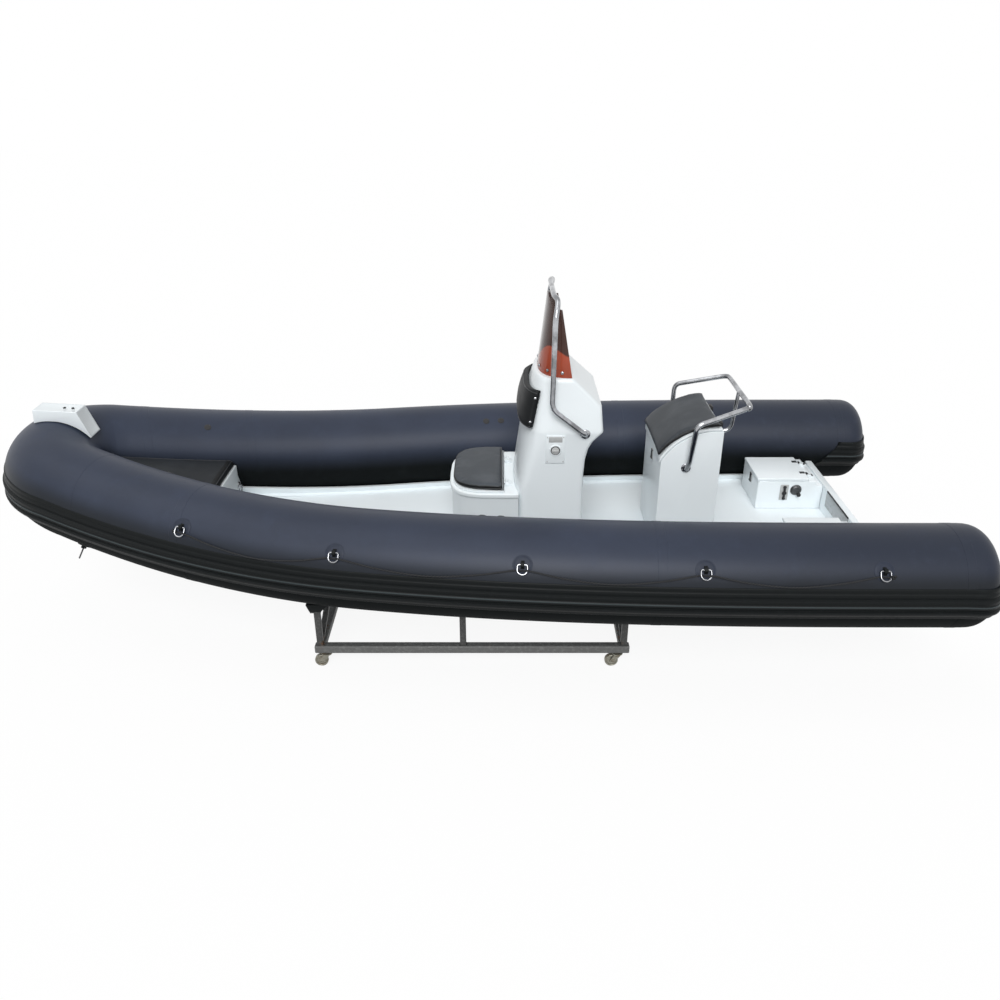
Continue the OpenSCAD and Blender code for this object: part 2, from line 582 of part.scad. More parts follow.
// Columns: share of the span to the next ring, angle on the tube, lift off the tube
SAG = [[0.25, 22, 8], [0.5, 18, 6], [0.75, 22, 6]];
LINE = [for (i = [0:len(RINGS) - 1]) each concat(
    [for (c = PASS) [along(RINGS[i]) + c[0], pass_angle, c[1]]],
    [for (c = i + 1 < len(RINGS) ? SAG : []) [along(mix(RINGS[i], RINGS[i + 1], c[0])), c[1], c[2]]])];
line_d = 8;
function line_pt(c, s) = off(chord_at(c[0]), -(tube_r + c[2]) * cos(c[1]), (tube_r + c[2]) * sin(c[1]), s);
module lifeline(s) round_bar([for (c = LINE) line_pt(c, s)], line_d, 8, [0, 0, 1]);
module lifeline_port() color(BLACK) lifeline(1);
module lifeline_starboard() color(BLACK) lifeline(-1);

// Cradle: long bars, cross bars and struts with pads under hull and tubes
wheel_gap = 6;
crown_t = 6;
crown_z = wheel_d + wheel_gap;
bar_z = crown_z + crown_t + wheel_gap;
CRADLE_FRONT = cx(775);
CRADLE_REAR = cx(-808);
CASTER_FRONT = CRADLE_FRONT - 28;
CASTER_REAR = CRADLE_REAR + 30;
post = 32;
pad_in = 420;
pad_w = 90;
// Columns: station of each post, length of its pad on top and at its foot, and height of the pad
POSTS = [[CRADLE_FRONT, 118, 56, 44], [cx(30), 44, 40, 20], [CRADLE_REAR, 52, 44, 20]];
END_POSTS = [POSTS[0], POSTS[2]];
// Underside of the boat at a station and a distance from the centreline
function under_at(p, y) =
    let (c = off(p, chine_in, -chine_drop))
    y > c[1] ? p[2] - tube_r : c[2] - keel_fall(c[0]) * (1 - y / c[1]);
function under(x, y) =
    let (place = station(x + chine_in * sin(side_at(x)[3])), i = floor(place))
    mix(under_at(port_pts[i], y), under_at(port_pts[i + 1], y), place - i);
// Highest level top for a pad, from the boat's underside at the pad's corners
function pad_top(c, y) =
    min([for (dx = [-c[1], c[1]] / 2, dy = [-pad_w, 0, pad_w] / 2) under(c[0] + dx, y + dy)]) - touch;
module strut(x, y0, z0, y1, z1, w) {
    run = norm([y1 - y0, z1 - z0]);
    translate([x - w / 2, y0, z0]) rotate([atan2(z1 - z0, y1 - y0), 0, 0]) translate([0, 0, -w / 2])
        cube([w, run, w]);
}
// Flat head under each pad
head_t = 9;
function head_z(c, y) = pad_top(c, y) - c[3];
module pad_head(c, y) translate([c[0] - c[2] / 2, y - pad_w / 2 + 6, head_z(c, y) - head_t])
    cube([c[2], pad_w - 12, head_t]);
swivel_d = 16;
swivel_h = 30;
swivel_play = 0.3;
module cradle_frame() color(GALVANISED) difference() {
    union() {
        both_sides() {
            translate([CRADLE_REAR - 30, cradle_half - bar / 2, bar_z])
                cube([CRADLE_FRONT - CRADLE_REAR + 60, bar, bar]);
            for (c = POSTS) {
                translate([c[0] - post / 2, cradle_half - post / 2, bar_z + bar - 1])
                    cube([post, post, head_z(c, cradle_half) - bar_z - bar - 3]);
                pad_head(c, cradle_half);
            }
            for (c = END_POSTS) {
                strut(c[0], cradle_half, bar_z + bar - 6, pad_in, head_z(c, pad_in) - post / 2, post - 4);
                pad_head(c, pad_in);
            }
        }
        for (c = END_POSTS) translate([c[0] - bar / 2, -cradle_half, bar_z + 1])
            cube([bar, 2 * cradle_half, bar - 2]);
    }
    for (x = [CASTER_FRONT, CASTER_REAR], s = [-1, 1]) translate([x, s * cradle_half, bar_z - 1])
        cylinder(d = swivel_d + swivel_play, h = swivel_h + 4);
}
// Rubber pads, longer on top than at the foot
module cradle_pad(c, y) across(y - pad_w / 2, y + pad_w / 2) translate([c[0], head_z(c, y)]) polygon([
    [-c[2] / 2, 0.3], [c[2] / 2, 0.3], [c[1] / 2, c[3]], [-c[1] / 2, c[3]]]);
module cradle_pads() color(BLACK) both_sides() {
    for (c = POSTS) cradle_pad(c, cradle_half);
    for (c = END_POSTS) cradle_pad(c, pad_in);
}

// Casters: a forked crown that swivels under the frame, and a wheel on its axle
wheel_w = 26;
cheek_t = 4;
axle_d = 10;
axle_play = 0.3;
module caster_place(x, s) translate([x, s * cradle_half, 0]) children();
module caster_fork() {
    inner = wheel_w / 2 + wheel_gap;
    translate([0, 0, crown_z]) cylinder(d = 58, h = crown_t);
    translate([0, 0, crown_z + 1]) cylinder(d = swivel_d, h = crown_t + wheel_gap + swivel_h - 1);
    for (s = [-1, 1]) translate([0, s * (inner + cheek_t / 2), 0]) {
        translate([-18, -cheek_t / 2, crown_z]) cube([36, cheek_t, 2]);
        rotate([90, 0, 0]) linear_extrude(cheek_t, center = true)
            polygon([[-18, crown_z + 2], [18, crown_z + 2], [trail + 12, wheel_d / 2],
                [trail, wheel_d / 2 - 14], [trail - 14, wheel_d / 2 - 4]]);
    }
    translate([trail, 0, wheel_d / 2]) rotate([90, 0, 0])
        cylinder(d = axle_d, h = 2 * (inner + cheek_t) + 8, center = true);
}
module caster_wheel() translate([trail, 0, wheel_d / 2]) rotate([90, 0, 0]) difference() {
    cylinder(d = wheel_d, h = wheel_w, center = true);
    cylinder(d = axle_d + axle_play, h = 2 * wheel_w, center = true);
}
module caster_fork_front_port() color(STEEL) caster_place(CASTER_FRONT, 1) caster_fork();
module caster_fork_front_starboard() color(STEEL) caster_place(CASTER_FRONT, -1) caster_fork();
module caster_fork_rear_port() color(STEEL) caster_place(CASTER_REAR, 1) caster_fork();
module caster_fork_rear_starboard() color(STEEL) caster_place(CASTER_REAR, -1) caster_fork();
module caster_wheel_front_port() color(BLACK) caster_place(CASTER_FRONT, 1) caster_wheel();
module caster_wheel_front_starboard() color(BLACK) caster_place(CASTER_FRONT, -1) caster_wheel();
module caster_wheel_rear_port() color(BLACK) caster_place(CASTER_REAR, 1) caster_wheel();
module caster_wheel_rear_starboard() color(BLACK) caster_place(CASTER_REAR, -1) caster_wheel();

hull();
deck();
coaming();
transom();
engine_plates();
tube_collar();
rub_strake();
nose_piece();
bow_locker();
bow_cushion();
locker_rings();
tow_rings();
console();
windshield();
console_rail();
backrest_cushion();
switch_panel();
front_seat_base();
front_seat_lid();
front_seat_cushion();
helm_seat_base();
helm_seat_lid();
helm_seat_cushion();
helm_rail();
stern_locker_port();
stern_locker_starboard();
stern_lid_port();
stern_lid_starboard();
hinges();
latches();
locker_fittings();
valves();
d_ring_patches();
d_rings();
lifeline_port();
lifeline_starboard();
cradle_frame();
cradle_pads();
caster_fork_front_port();
caster_fork_front_starboard();
caster_fork_rear_port();
caster_fork_rear_starboard();
caster_wheel_front_port();
caster_wheel_front_starboard();
caster_wheel_rear_port();
caster_wheel_rear_starboard();
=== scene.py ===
from math import acos, asin, atan, copysign, cos, pi, radians, sin, sqrt

import bpy
from mathutils import Matrix, Vector


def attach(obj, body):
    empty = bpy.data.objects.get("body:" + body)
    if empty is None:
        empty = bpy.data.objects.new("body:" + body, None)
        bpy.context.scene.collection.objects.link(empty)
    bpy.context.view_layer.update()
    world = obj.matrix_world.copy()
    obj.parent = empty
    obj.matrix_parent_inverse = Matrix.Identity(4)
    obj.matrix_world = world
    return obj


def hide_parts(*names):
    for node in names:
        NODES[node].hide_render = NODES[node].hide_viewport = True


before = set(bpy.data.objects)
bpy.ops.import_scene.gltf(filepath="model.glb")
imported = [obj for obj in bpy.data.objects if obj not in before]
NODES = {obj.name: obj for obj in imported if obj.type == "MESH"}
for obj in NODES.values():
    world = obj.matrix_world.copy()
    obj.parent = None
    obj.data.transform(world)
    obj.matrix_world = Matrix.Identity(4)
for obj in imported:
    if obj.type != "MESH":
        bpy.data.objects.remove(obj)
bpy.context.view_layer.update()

bl_info = {
    "name": "Inflatable boat dresser",
    "version": (1, 0, 0),
    "blender": (4, 5, 0),
    "location": "View3D > Sidebar > Boat",
    "description": "Dresses a rigid inflatable boat and its cradle with smooth tubes, cushions and fittings",
    "category": "Object",
}

UP = Vector((0, 0, 1))
SIDES = (1, -1)
HANDS = ((1, "port"), (-1, "starboard"))

# Path of the tubes, as in the part's source, in metres
TUBE_R = 0.25
SIDE_LEN = 4.42
STERN_HALF = 0.854
DRAW_IN = 0.656 * STERN_HALF
BOW_RISE = 0.224
TUBE_Z = 0.65
DOME = 0.145
STRAKE_T = 0.02
JOINT_TURN = atan(3 * DRAW_IN / SIDE_LEN)
NOSE_R = (STERN_HALF - DRAW_IN) / cos(JOINT_TURN)
OVER_L = 2 * STRAKE_T + DOME + SIDE_LEN + NOSE_R * (1 - sin(JOINT_TURN)) + TUBE_R
STERN_X = STRAKE_T + DOME - OVER_L / 2
TIP_X = OVER_L / 2 - STRAKE_T - TUBE_R
NOSE_CX = TIP_X - NOSE_R
DECK_DROP = 0.84 * TUBE_R
DECK_Z = TUBE_Z - DECK_DROP
DECK_T = 0.015
DECK_EDGE = 0.6 * TUBE_R


def along(share):
    """Station at a share of the straight side of the tubes."""
    return STERN_X + share * SIDE_LEN


MID_X = along(0.532)
RISE_X = along(0.645)
TRANSOM_X = along(0.059)
BOW_FACE_X = along(0.8465)


def rise(x):
    """Rise of the tube centre towards the bow."""
    return BOW_RISE * (max(0.0, x - RISE_X) / (TIP_X - RISE_X)) ** 2


def side_pt(u):
    """Path point on the side: x, y, z and heading."""
    x = along(u)
    return x, STERN_HALF - DRAW_IN * u**3, TUBE_Z + rise(x), atan(3 * DRAW_IN * u * u / SIDE_LEN)


def nose_pt(v):
    """Path point on the nose arc."""
    turn = JOINT_TURN + v * (pi / 2 - JOINT_TURN)
    x = NOSE_CX + NOSE_R * sin(turn)
    return x, NOSE_R * cos(turn), TUBE_Z + rise(x), turn


def off(p, inboard, up, s=1):
    """Point beside a path point, inboard and up, on port (1) or starboard (-1)."""
    return Vector((p[0] - inboard * sin(p[3]), s * (p[1] - inboard * cos(p[3])), p[2] + up))


def side_run(u0, u1, n):
    """Evenly spaced path points on the side."""
    return [side_pt(u0 + (u1 - u0) * i / n) for i in range(n + 1)]


def nose_run(n, end=1.0):
    """Path points on the nose arc after its start."""
    return [nose_pt(end * i / n) for i in range(1, n + 1)]


def power(value, exponent):
    """Power that keeps the sign."""
    return copysign(abs(value) ** exponent, value)


def lerp(a, b, t):
    """Value between two."""
    return a + (b - a) * t


def angles(sides):
    """Even turns round a circle."""
    return [2 * pi * k / sides for k in range(sides)]


def circle(radius, sides):
    """Round outline in X and Y."""
    return [(radius * cos(a), radius * sin(a)) for a in angles(sides)]


# Mesh tools


def deselect():
    """Leave edit mode and select nothing."""
    if bpy.context.object and bpy.context.object.mode != "OBJECT":
        bpy.ops.object.mode_set(mode="OBJECT")
    bpy.ops.object.select_all(action="DESELECT")


def pick(piece):
    """Make one piece the only selected one."""
    deselect()
    piece.select_set(True)
    bpy.context.view_layer.objects.active = piece
    return piece


def edit(piece):
    """Open a piece in edit mode with all of it selected."""
    pick(piece)
    bpy.ops.object.mode_set(mode="EDIT")
    bpy.ops.mesh.select_all(action="SELECT")


def shade(piece, angle=40):
    """Smooth shading with edges kept past an angle in degrees."""
    pick(piece)
    bpy.ops.object.shade_smooth_by_angle(angle=radians(angle))
    return piece


def apply(piece, kind, **settings):
    """Add a modifier and apply it."""
    pick(piece)
    modifier = piece.modifiers.new("shape", kind)
    for key, value in settings.items():
        setattr(modifier, key, value)
    bpy.ops.object.modifier_apply(modifier=modifier.name)
    return piece


def rounded(piece, width, segments=2, angle=32):
    """Round the sharp edges of a piece."""
    apply(piece, "BEVEL", width=width, segments=segments, limit_method="ANGLE",
          angle_limit=radians(angle), harden_normals=False)
    return shade(piece, angle)


def loft(name, rows, closed=True, caps=True, smooth=40):
    """Skin over rows of points, shaped from a grid; closed joins each row's end to its start."""
    columns = len(rows[0]) + (1 if closed else 0)
    deselect()
    bpy.ops.mesh.primitive_grid_add(x_subdivisions=columns - 1, y_subdivisions=len(rows) - 1, size=1)
    piece = bpy.context.object
    piece.name = name
    flat = []
    for row in rows:
        flat.extend(row)
        if closed:
            flat.append(row[0])
    piece.data.vertices.foreach_set("co", [c for p in flat for c in p])
    edit(piece)
    bpy.ops.mesh.remove_doubles(threshold=0.00002)
    if caps:
        bpy.ops.mesh.select_all(action="SELECT")
        bpy.ops.mesh.fill_holes(sides=0)
    bpy.ops.mesh.select_all(action="SELECT")
    bpy.ops.mesh.normals_make_consistent(inside=False)
    bpy.ops.object.mode_set(mode="OBJECT")
    if smooth:
        shade(piece, smooth)
    return piece


def carried(route):
    """Frames along a route, carried from one point to the next."""
    frames = []
    side = None
    for i, point in enumerate(route):
        ahead = (route[min(i + 1, len(route) - 1)] - route[max(i - 1, 0)]).normalized()
        if side is None:
            side = ahead.orthogonal()
        side = (side - ahead * side.dot(ahead)).normalized()
        frames.append((point, side.copy(), ahead.cross(side)))
    return frames


def bar_rows(route, radius, sides):
    """Rings of a round bar along a route."""
    return [[p + radius * (cos(a) * u + sin(a) * w) for a in angles(sides)] for p, u, w in carried(route)]


def bar(name, route, radius, sides=16):
    """Round bar along a route."""
    return loft(name, bar_rows([Vector(p) for p in route], radius, sides), smooth=50)


def bent(route, reach, n=8):
    """Route with its inner corners rounded over a reach."""
    route = [Vector(p) for p in route]
    out = [route[0]]
    for a, b, c in zip(route, route[1:], route[2:]):
        start = b + (a - b).normalized() * min(reach, (a - b).length * 0.48)
        end = b + (c - b).normalized() * min(reach, (c - b).length * 0.48)
        for k in range(n + 1):
            t = k / n
            out.append((1 - t) ** 2 * start + 2 * t * (1 - t) * b + t * t * end)
    return out + [route[-1]]


def flowing(route, n=4):
    """Smooth route through its points."""
    route = [Vector(p) for p in route]
    out = []
    last = len(route) - 1
    for i in range(last):
        a, b, c, d = route[max(i - 1, 0)], route[i], route[i + 1], route[min(i + 2, last)]
        for k in range(n):
            t = k / n
            out.append(0.5 * (2 * b + (c - a) * t + (2 * a - 5 * b + 4 * c - d) * t * t
                              + (3 * b - a - 3 * c + d) * t**3))
    return out + [route[-1]]


def lathe(name, profile, sides=32, smooth=35):
    """Turned shape about Z from a profile of radius and height, closed at both ends on the axis."""
    rows = [[Vector((r * cos(a), r * sin(a), z)) for a in angles(sides)] for r, z in profile]
    return loft(name, rows, smooth=smooth)


def turned(name, profile, sides=32, smooth=35):
    """Turned shape from a profile in millimetres."""
    return lathe(name, [(r / 1000, z / 1000) for r, z in profile], sides, smooth)


def flat_ring(name, route, radius, sides=14):
    """Closed ring of round wire along a flat route in X and Y."""
    rows = []
    count = len(route)
    for i, (x, y) in enumerate(route):
        ahead = Vector(route[(i + 1) % count]) - Vector(route[i - 1])
        out = Vector((ahead.y, -ahead.x, 0)).normalized()
        rows.append([Vector((x, y, 0)) + radius * (cos(a) * out + sin(a) * UP) for a in angles(sides)])
    return loft(name, rows + [rows[0]], caps=False, smooth=60)


def block(name, size, place=(0, 0, 0), edge=0.002, segments=2):
    """Box with rounded edges, centred on a place."""
    deselect()
    bpy.ops.mesh.primitive_cube_add(size=1, location=place)
    piece = bpy.context.object
    piece.name = name
    piece.scale = size
    bpy.ops.object.transform_apply(location=True, rotation=True, scale=True)
    return rounded(piece, edge, segments)


def slab(name, outline, z0, z1, edge=0.003, segments=3):
    """Plate over a closed outline in X and Y, with rounded edges."""
    rows = [[Vector((x, y, z)) for x, y in outline] for z in (z0, z1)]
    return rounded(loft(name, rows, smooth=0), edge, segments)


def moved(piece, matrix):
    """Move a piece's mesh and keep its object at the origin."""
    piece.data.transform(matrix)
    if matrix.determinant() < 0:
        piece.data.flip_normals()
    piece.data.update()
    return piece


def twin(piece, name, matrix):
    """Copy of a piece with its own mesh, placed by a matrix."""
    copy = bpy.data.objects.new(name, piece.data.copy())
    bpy.context.scene.collection.objects.link(copy)
    return moved(copy, matrix)


def joined(name, pieces):
    """Several pieces as one mesh."""
    deselect()
    for piece in pieces:
        piece.select_set(True)
    bpy.context.view_layer.objects.active = pieces[0]
    bpy.ops.object.join()
    pieces[0].name = name
    return pieces[0]


def copies(name, pattern, places):
    """One mesh of a pattern's copies at several places; the pattern itself goes."""
    made = joined(name, [twin(pattern, "copy", place) for place in places])
    bpy.data.objects.remove(pattern)
    return made


def softened(node, width, segments=2, angle=32):
    """Copy of a CAD node with flat faces made whole and its edges rounded."""
    piece = bpy.data.objects.new(node + "_smooth", NODES[node].data.copy())
    bpy.context.scene.collection.objects.link(piece)
    edit(piece)
    bpy.ops.mesh.remove_doubles(threshold=0.00003)
    bpy.ops.mesh.dissolve_limited(angle_limit=radians(0.6))
    bpy.ops.object.mode_set(mode="OBJECT")
    return rounded(piece, width, segments, angle)


def placed(origin, x_axis, y_axis, z_axis):
    """Matrix from an origin and three axes."""
    return Matrix((*zip(x_axis, y_axis, z_axis, origin), (0, 0, 0, 1)))


def on_wall(spot):
    """Frame on a wall that faces port: X forward, Z out of the wall."""
    return placed(spot, (1, 0, 0), (0, 0, -1), (0, 1, 0))


def standing(spot, out):
    """Frame with Z along a direction and X level."""
    side = UP.cross(Vector(out)).normalized()
    return placed(spot, side, Vector(out).cross(side), out)


def on_tube(share, angle, s, lift=0.0):
    """Frame on the smooth tube skin: Z out of the skin, X forward, Y up round the tube."""
    p = side_pt(share)
    a = radians(angle)
    at = off(p, -TUBE_R * cos(a), TUBE_R * sin(a), s)
    q = side_pt(share + 0.001)
    ahead = (off(q, -TUBE_R * cos(a), TUBE_R * sin(a), s) - at).normalized()
    out = Vector((cos(a) * sin(p[3]), s * cos(a) * cos(p[3]), sin(a)))
    out = (out - ahead * out.dot(ahead)).normalized()
    return placed(at + lift * out, ahead, s * ahead.cross(out), out)


def finish(piece, slot, material, *nodes, body="boat"):
    """Give a piece its slot, its material by name, the nodes it stands for and its body."""
    piece.data.materials.clear()
    piece.data.materials.append(paint(material))
    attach(piece, body)
    if nodes:
        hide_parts(*nodes)
    return piece


def eased(node, slot, material, width, segments=2, body="boat"):
    """CAD node shown by its own softened copy."""
    return finish(softened(node, width, segments), slot, material, node, body=body)


# Shader tools


class Wire:
    """A shader socket; arithmetic on it adds Math nodes."""

    def __init__(self, paint, socket):
        self.paint = paint
        self.socket = socket

    def math(self, operation, a, b):
        """Math node on two values."""
        return self.paint.node("ShaderNodeMath", {"operation": operation}, {0: a, 1: b})

    def __add__(self, other):
        return self.math("ADD", self, other)

    def __sub__(self, other):
        return self.math("SUBTRACT", self, other)

    def __rsub__(self, other):
        return self.math("SUBTRACT", other, self)

    def __mul__(self, other):
        return self.math("MULTIPLY", self, other)

    def __gt__(self, other):
        return self.math("GREATER_THAN", self, other)

    __radd__ = __add__
    __rmul__ = __mul__

    def clipped(self, low, high):
        """Smooth step from 0 at low to 1 at high."""
        return self.paint.node("ShaderNodeMapRange", {"interpolation_type": "SMOOTHSTEP"},
                               {"Value": self, "From Min": low, "From Max": high})


class Paint:
    """A material built from nodes around one shader."""

    def __init__(self, name, **sockets):
        self.material = bpy.data.materials.new(name)
        self.material.use_nodes = True
        self.tree = self.material.node_tree
        self.tree.nodes.clear()
        self.output = self.tree.nodes.new("ShaderNodeOutputMaterial")
        self.shader = self.tree.nodes.new("ShaderNodeBsdfPrincipled")
        self.tree.links.new(self.shader.outputs[0], self.output.inputs[0])
        self.at = self.node("ShaderNodeTexCoord", out="Object")
        for key, value in sockets.items():
            self.set(key.replace("_", " ").title().replace("Ior", "IOR"), value)

    def put(self, socket, value):
        """Link a wire to a socket or set its value."""
        if isinstance(value, Wire):
            self.tree.links.new(value.socket, socket)
        else:
            if socket.type == "RGBA" and len(value) == 3:
                value = (*value, 1.0)
            socket.default_value = value

    def set(self, name, value):
        """Set or link one of the shader's sockets."""
        self.put(self.shader.inputs[name], value)
        return self

    def node(self, kind, settings=None, sockets=None, out=0):
        """Any node, with its settings and its sockets' values or links."""
        made = self.tree.nodes.new(kind)
        for key, value in (settings or {}).items():
            setattr(made, key, value)
        for key, value in (sockets or {}).items():
            self.put(made.inputs[key], value)
        return Wire(self, made.outputs[out])

    def noise(self, scale, detail=3.0, rough=0.5, stretch=None):
        """Noise value on object places, stretched if asked."""
        vector = self.at
        if stretch:
            vector = self.node("ShaderNodeMapping", None, {"Vector": vector, "Scale": stretch})
        return self.node("ShaderNodeTexNoise", None,
                         {"Vector": vector, "Scale": scale, "Detail": detail, "Roughness": rough})

    def cells(self, scale, feature="F1"):
        """Cell pattern distance."""
        return self.node("ShaderNodeTexVoronoi", {"feature": feature},
                         {"Vector": self.at, "Scale": scale}, "Distance")

    def distance(self, value, from_value):
        """How far a value is from another, without its sign."""
        return self.curve("ABSOLUTE", value - from_value)

    def curve(self, operation, value):
        """Math node on one value."""
        return self.node("ShaderNodeMath", {"operation": operation}, {0: value})

    def axis(self, name, at=None):
        """One coordinate of the object place."""
        return self.node("ShaderNodeSeparateXYZ", None, {0: at or self.at}, name)

    def uv(self, name):
        """One coordinate of the place on the unrolled skin."""
        return self.axis(name, self.node("ShaderNodeTexCoord", out="UV"))

    def mix(self, factor, a, b):
        """Colour between two."""
        return self.node("ShaderNodeMix", {"data_type": "RGBA"}, {0: factor, 6: a, 7: b}, 2)

    def bump(self, height, strength, distance, under=None):
        """Normal from a height."""
        sockets = {"Height": height, "Strength": strength, "Distance": distance}
        if under:
            sockets["Normal"] = under
        return self.node("ShaderNodeBump", None, sockets)

    def done(self, colour, rough, *bump):
        """Set colour, roughness and the bump's height, strength and distance; gives the material."""
        self.set("Base Color", colour).set("Roughness", rough).set("Normal", self.bump(*bump))
        return self.material

    def over(self, factor, other):
        """Mix another shader over the first one; gives the material."""
        first = Wire(self, self.shader.outputs[0])
        mixed = self.node("ShaderNodeMixShader", None, {0: factor, 1: first, 2: other})
        self.put(self.output.inputs[0], mixed)
        return self.material


def shaded(colour, factor):
    """A colour made lighter or darker."""
    return tuple(min(1.0, c * factor) for c in colour)


PAINTS = {}


def paint(name):
    """A finished material, made once."""
    if name not in PAINTS:
        PAINTS[name] = RECIPES[name](bpy.context.scene.boat_colours)
    return PAINTS[name]


def gelcoat(colours):
    """White moulded gelcoat with a faint cold tint, haze and dust in broad patches."""
    p = Paint("gelcoat", coat_roughness=0.08, specular_ior_level=0.5)
    broad = p.noise(1.7, 4)
    dust = p.noise(6, 3, 0.5).clipped(0.4, 0.8)
    base = colours.gelcoat
    tone = p.mix(broad, shaded(base, 0.975), shaded(base, 1.02))
    p.set("Coat Weight", 0.25 - 0.1 * dust)
    return p.done(p.mix(dust * 0.05, tone, (0.66, 0.68, 0.69)),
                  0.26 + 0.08 * dust + 0.08 * broad, p.noise(60, 2) + 0.4 * p.noise(420, 1), 0.06, 0.002)


def deck_gelcoat(colours):
    """Gelcoat floor with a moulded fine grip and grey foot dust."""
    p = Paint("deck_gelcoat", specular_ior_level=0.45)
    dust = p.noise(3.2, 7, 0.66).clipped(0.44, 0.76)
    grip = p.cells(260)
    base = colours.gelcoat
    tone = p.mix(p.noise(1.2, 3), base, shaded(base, 1.05))
    return p.done(p.mix(dust * 0.08, tone, (0.55, 0.56, 0.56)), 0.42 + 0.2 * dust, grip, 0.14, 0.0015)


def tube_cloth(colours):
    """Coated tube cloth: navy above, black on the lower half, with grain, rubbed dust and soft ripples."""
    p = Paint("tube_cloth", specular_ior_level=0.22)
    turn = p.uv("X")
    below = turn.clipped(0.43, 0.53)
    grimy = (1 - turn.clipped(0.05, 0.112)) * 0.75
    broad = p.noise(2.3, 5, 0.6)
    rubbed = p.noise(7, 7, 0.68).clipped(0.5, 0.8)
    grain = p.cells(900) + 0.6 * p.noise(1500, 2)
    ripple = p.noise(3.0, 2, 0.4, stretch=(0.6, 3.0, 3.0))
    base = colours.tube
    tone = p.mix(broad.clipped(0.3, 0.7), shaded(base, 0.9), shaded(base, 1.1))
    tone = p.mix(p.axis("X").clipped(-2.1, -0.7), shaded(base, 0.68), tone)
    upper = p.mix(rubbed * 0.3, tone, shaded(base, 1.6))
    p.done(p.mix(grimy, upper, colours.rubber), 0.4 + 0.12 * rubbed + 0.06 * broad,
           grain, 0.1, 0.0006, p.bump(ripple, 0.1, 0.012))
    black = p.mix(rubbed, colours.rubber, shaded(colours.rubber, 1.5))
    matt = {"Specular IOR Level": 0.04, "Roughness": 0.7, "Base Color": black}
    return p.over(below, p.node("ShaderNodeBsdfPrincipled", None, matt))


def patch_cloth(colours):
    """The same cloth on the ring patches, a little darker and duller."""
    p = Paint("patch_cloth", specular_ior_level=0.2)
    base = colours.tube
    return p.done(p.mix(p.noise(60, 4), shaded(base, 0.6), shaded(base, 0.95)),
                  0.45 + 0.1 * p.noise(30, 3), p.cells(900), 0.1, 0.0006)


def rubber(name, colours, crest=None):
    """Moulded black rubber with chalky wear; crest is 1 where it is scuffed pale."""
    p = Paint(name, specular_ior_level=0.12)
    wear = p.noise(24, 6, 0.65).clipped(0.52, 0.82)
    base = colours.rubber
    tone = p.mix(wear * 0.4, base, shaded(base, 2.4))
    if crest:
        tone = p.mix(crest(p) * (0.55 + 0.45 * p.noise(3, 4)), tone, shaded(base, 9))
    return p.done(tone, 0.42 + 0.22 * wear + 0.05 * p.noise(200, 2), p.noise(650, 3), 0.08, 0.0006)


def black_rubber(colours):
    """Black rubber of patches, pads and thin ribs."""
    return rubber("black_rubber", colours)


def strake_rubber(colours):
    """Black rubber of the strake, scuffed pale along the crest of its middle rib."""

    def crest(p):
        across = p.uv("X")
        return across.clipped(0.196, 0.204) * (1 - across.clipped(0.226, 0.236))

    return rubber("strake_rubber", colours, crest)


VINYL_BLACK = (0.006, 0.0068, 0.0074)


def grained_vinyl(name, base, top, shine=0.3):
    """Pebbled marine vinyl with polished high spots; top is 1 on the face and 0 on the black sides."""
    p = Paint(name, specular_ior_level=shine)
    pebble = p.cells(420, "SMOOTH_F1") + 0.35 * p.noise(900, 2)
    worn = p.noise(5, 5, 0.6).clipped(0.42, 0.75)
    face = p.mix(worn, shaded(base, 0.88), shaded(base, 1.22))
    return p.done(p.mix(top(p), VINYL_BLACK, face),
                  0.48 - 0.1 * worn + 0.05 * p.noise(40, 3), pebble, 0.22, 0.0009)


def front_vinyl(colours):
    """Grey top of the front cushion over black sides."""
    low = SEAT_Z + PAD_FOOT + 0.021
    return grained_vinyl("front_vinyl", colours.vinyl, lambda p: p.axis("Z").clipped(low, low + 0.002))


def helm_vinyl(colours):
    """Grey arched top of the helm cushion over black sides."""
    low = HELM_R + PAD_FOOT + 0.017

    def above(p):
        x = p.axis("X") - at_mid(HELM_CX)
        z = p.axis("Z") - HELM_CZ
        reach = p.curve("SQRT", x * x + z * z)
        return reach.clipped(low, low + 0.002)

    return grained_vinyl("helm_vinyl", shaded(colours.vinyl, 0.8), above)


def dark_vinyl(colours):
    """Black vinyl of the backrest."""
    return grained_vinyl("dark_vinyl", shaded(colours.vinyl, 0.16), lambda p: p.noise(3, 3), 0.16)


def bow_vinyl(colours):
    """Dark grey vinyl top with a black band across the aft edge."""
    aft = BOW_FACE_X + 0.035
    return grained_vinyl("bow_vinyl", shaded(colours.vinyl, 0.32),
                         lambda p: p.axis("X").clipped(aft, aft + 0.002), 0.18)


def piping(colours):
    """Black vinyl welt."""
    p = Paint("piping", specular_ior_level=0.5)
    base = shaded(colours.vinyl, 0.2)
    return p.done(p.mix(p.noise(30, 3), base, shaded(base, 1.8)),
                  0.36 + 0.1 * p.noise(80, 3), p.cells(500), 0.15, 0.0005)


def stainless(colours):
    """Polished stainless with fine smears."""
    p = Paint("stainless", metallic=1.0)
    smear = p.noise(12, 6, 0.6)
    base = colours.stainless
    return p.done(p.mix(smear.clipped(0.35, 0.7), shaded(base, 0.55), shaded(base, 1.25)),
                  0.1 + 0.14 * smear, p.noise(300, 2), 0.03, 0.0004)


def dark_steel(colours):
    """Dulled steel of the towing rings."""
    p = Paint("dark_steel", metallic=1.0)
    film = p.noise(60, 5, 0.6)
    return p.done(p.mix(film, (0.05, 0.052, 0.055), (0.16, 0.16, 0.165)),
                  0.35 + 0.2 * film, film, 0.1, 0.0005)


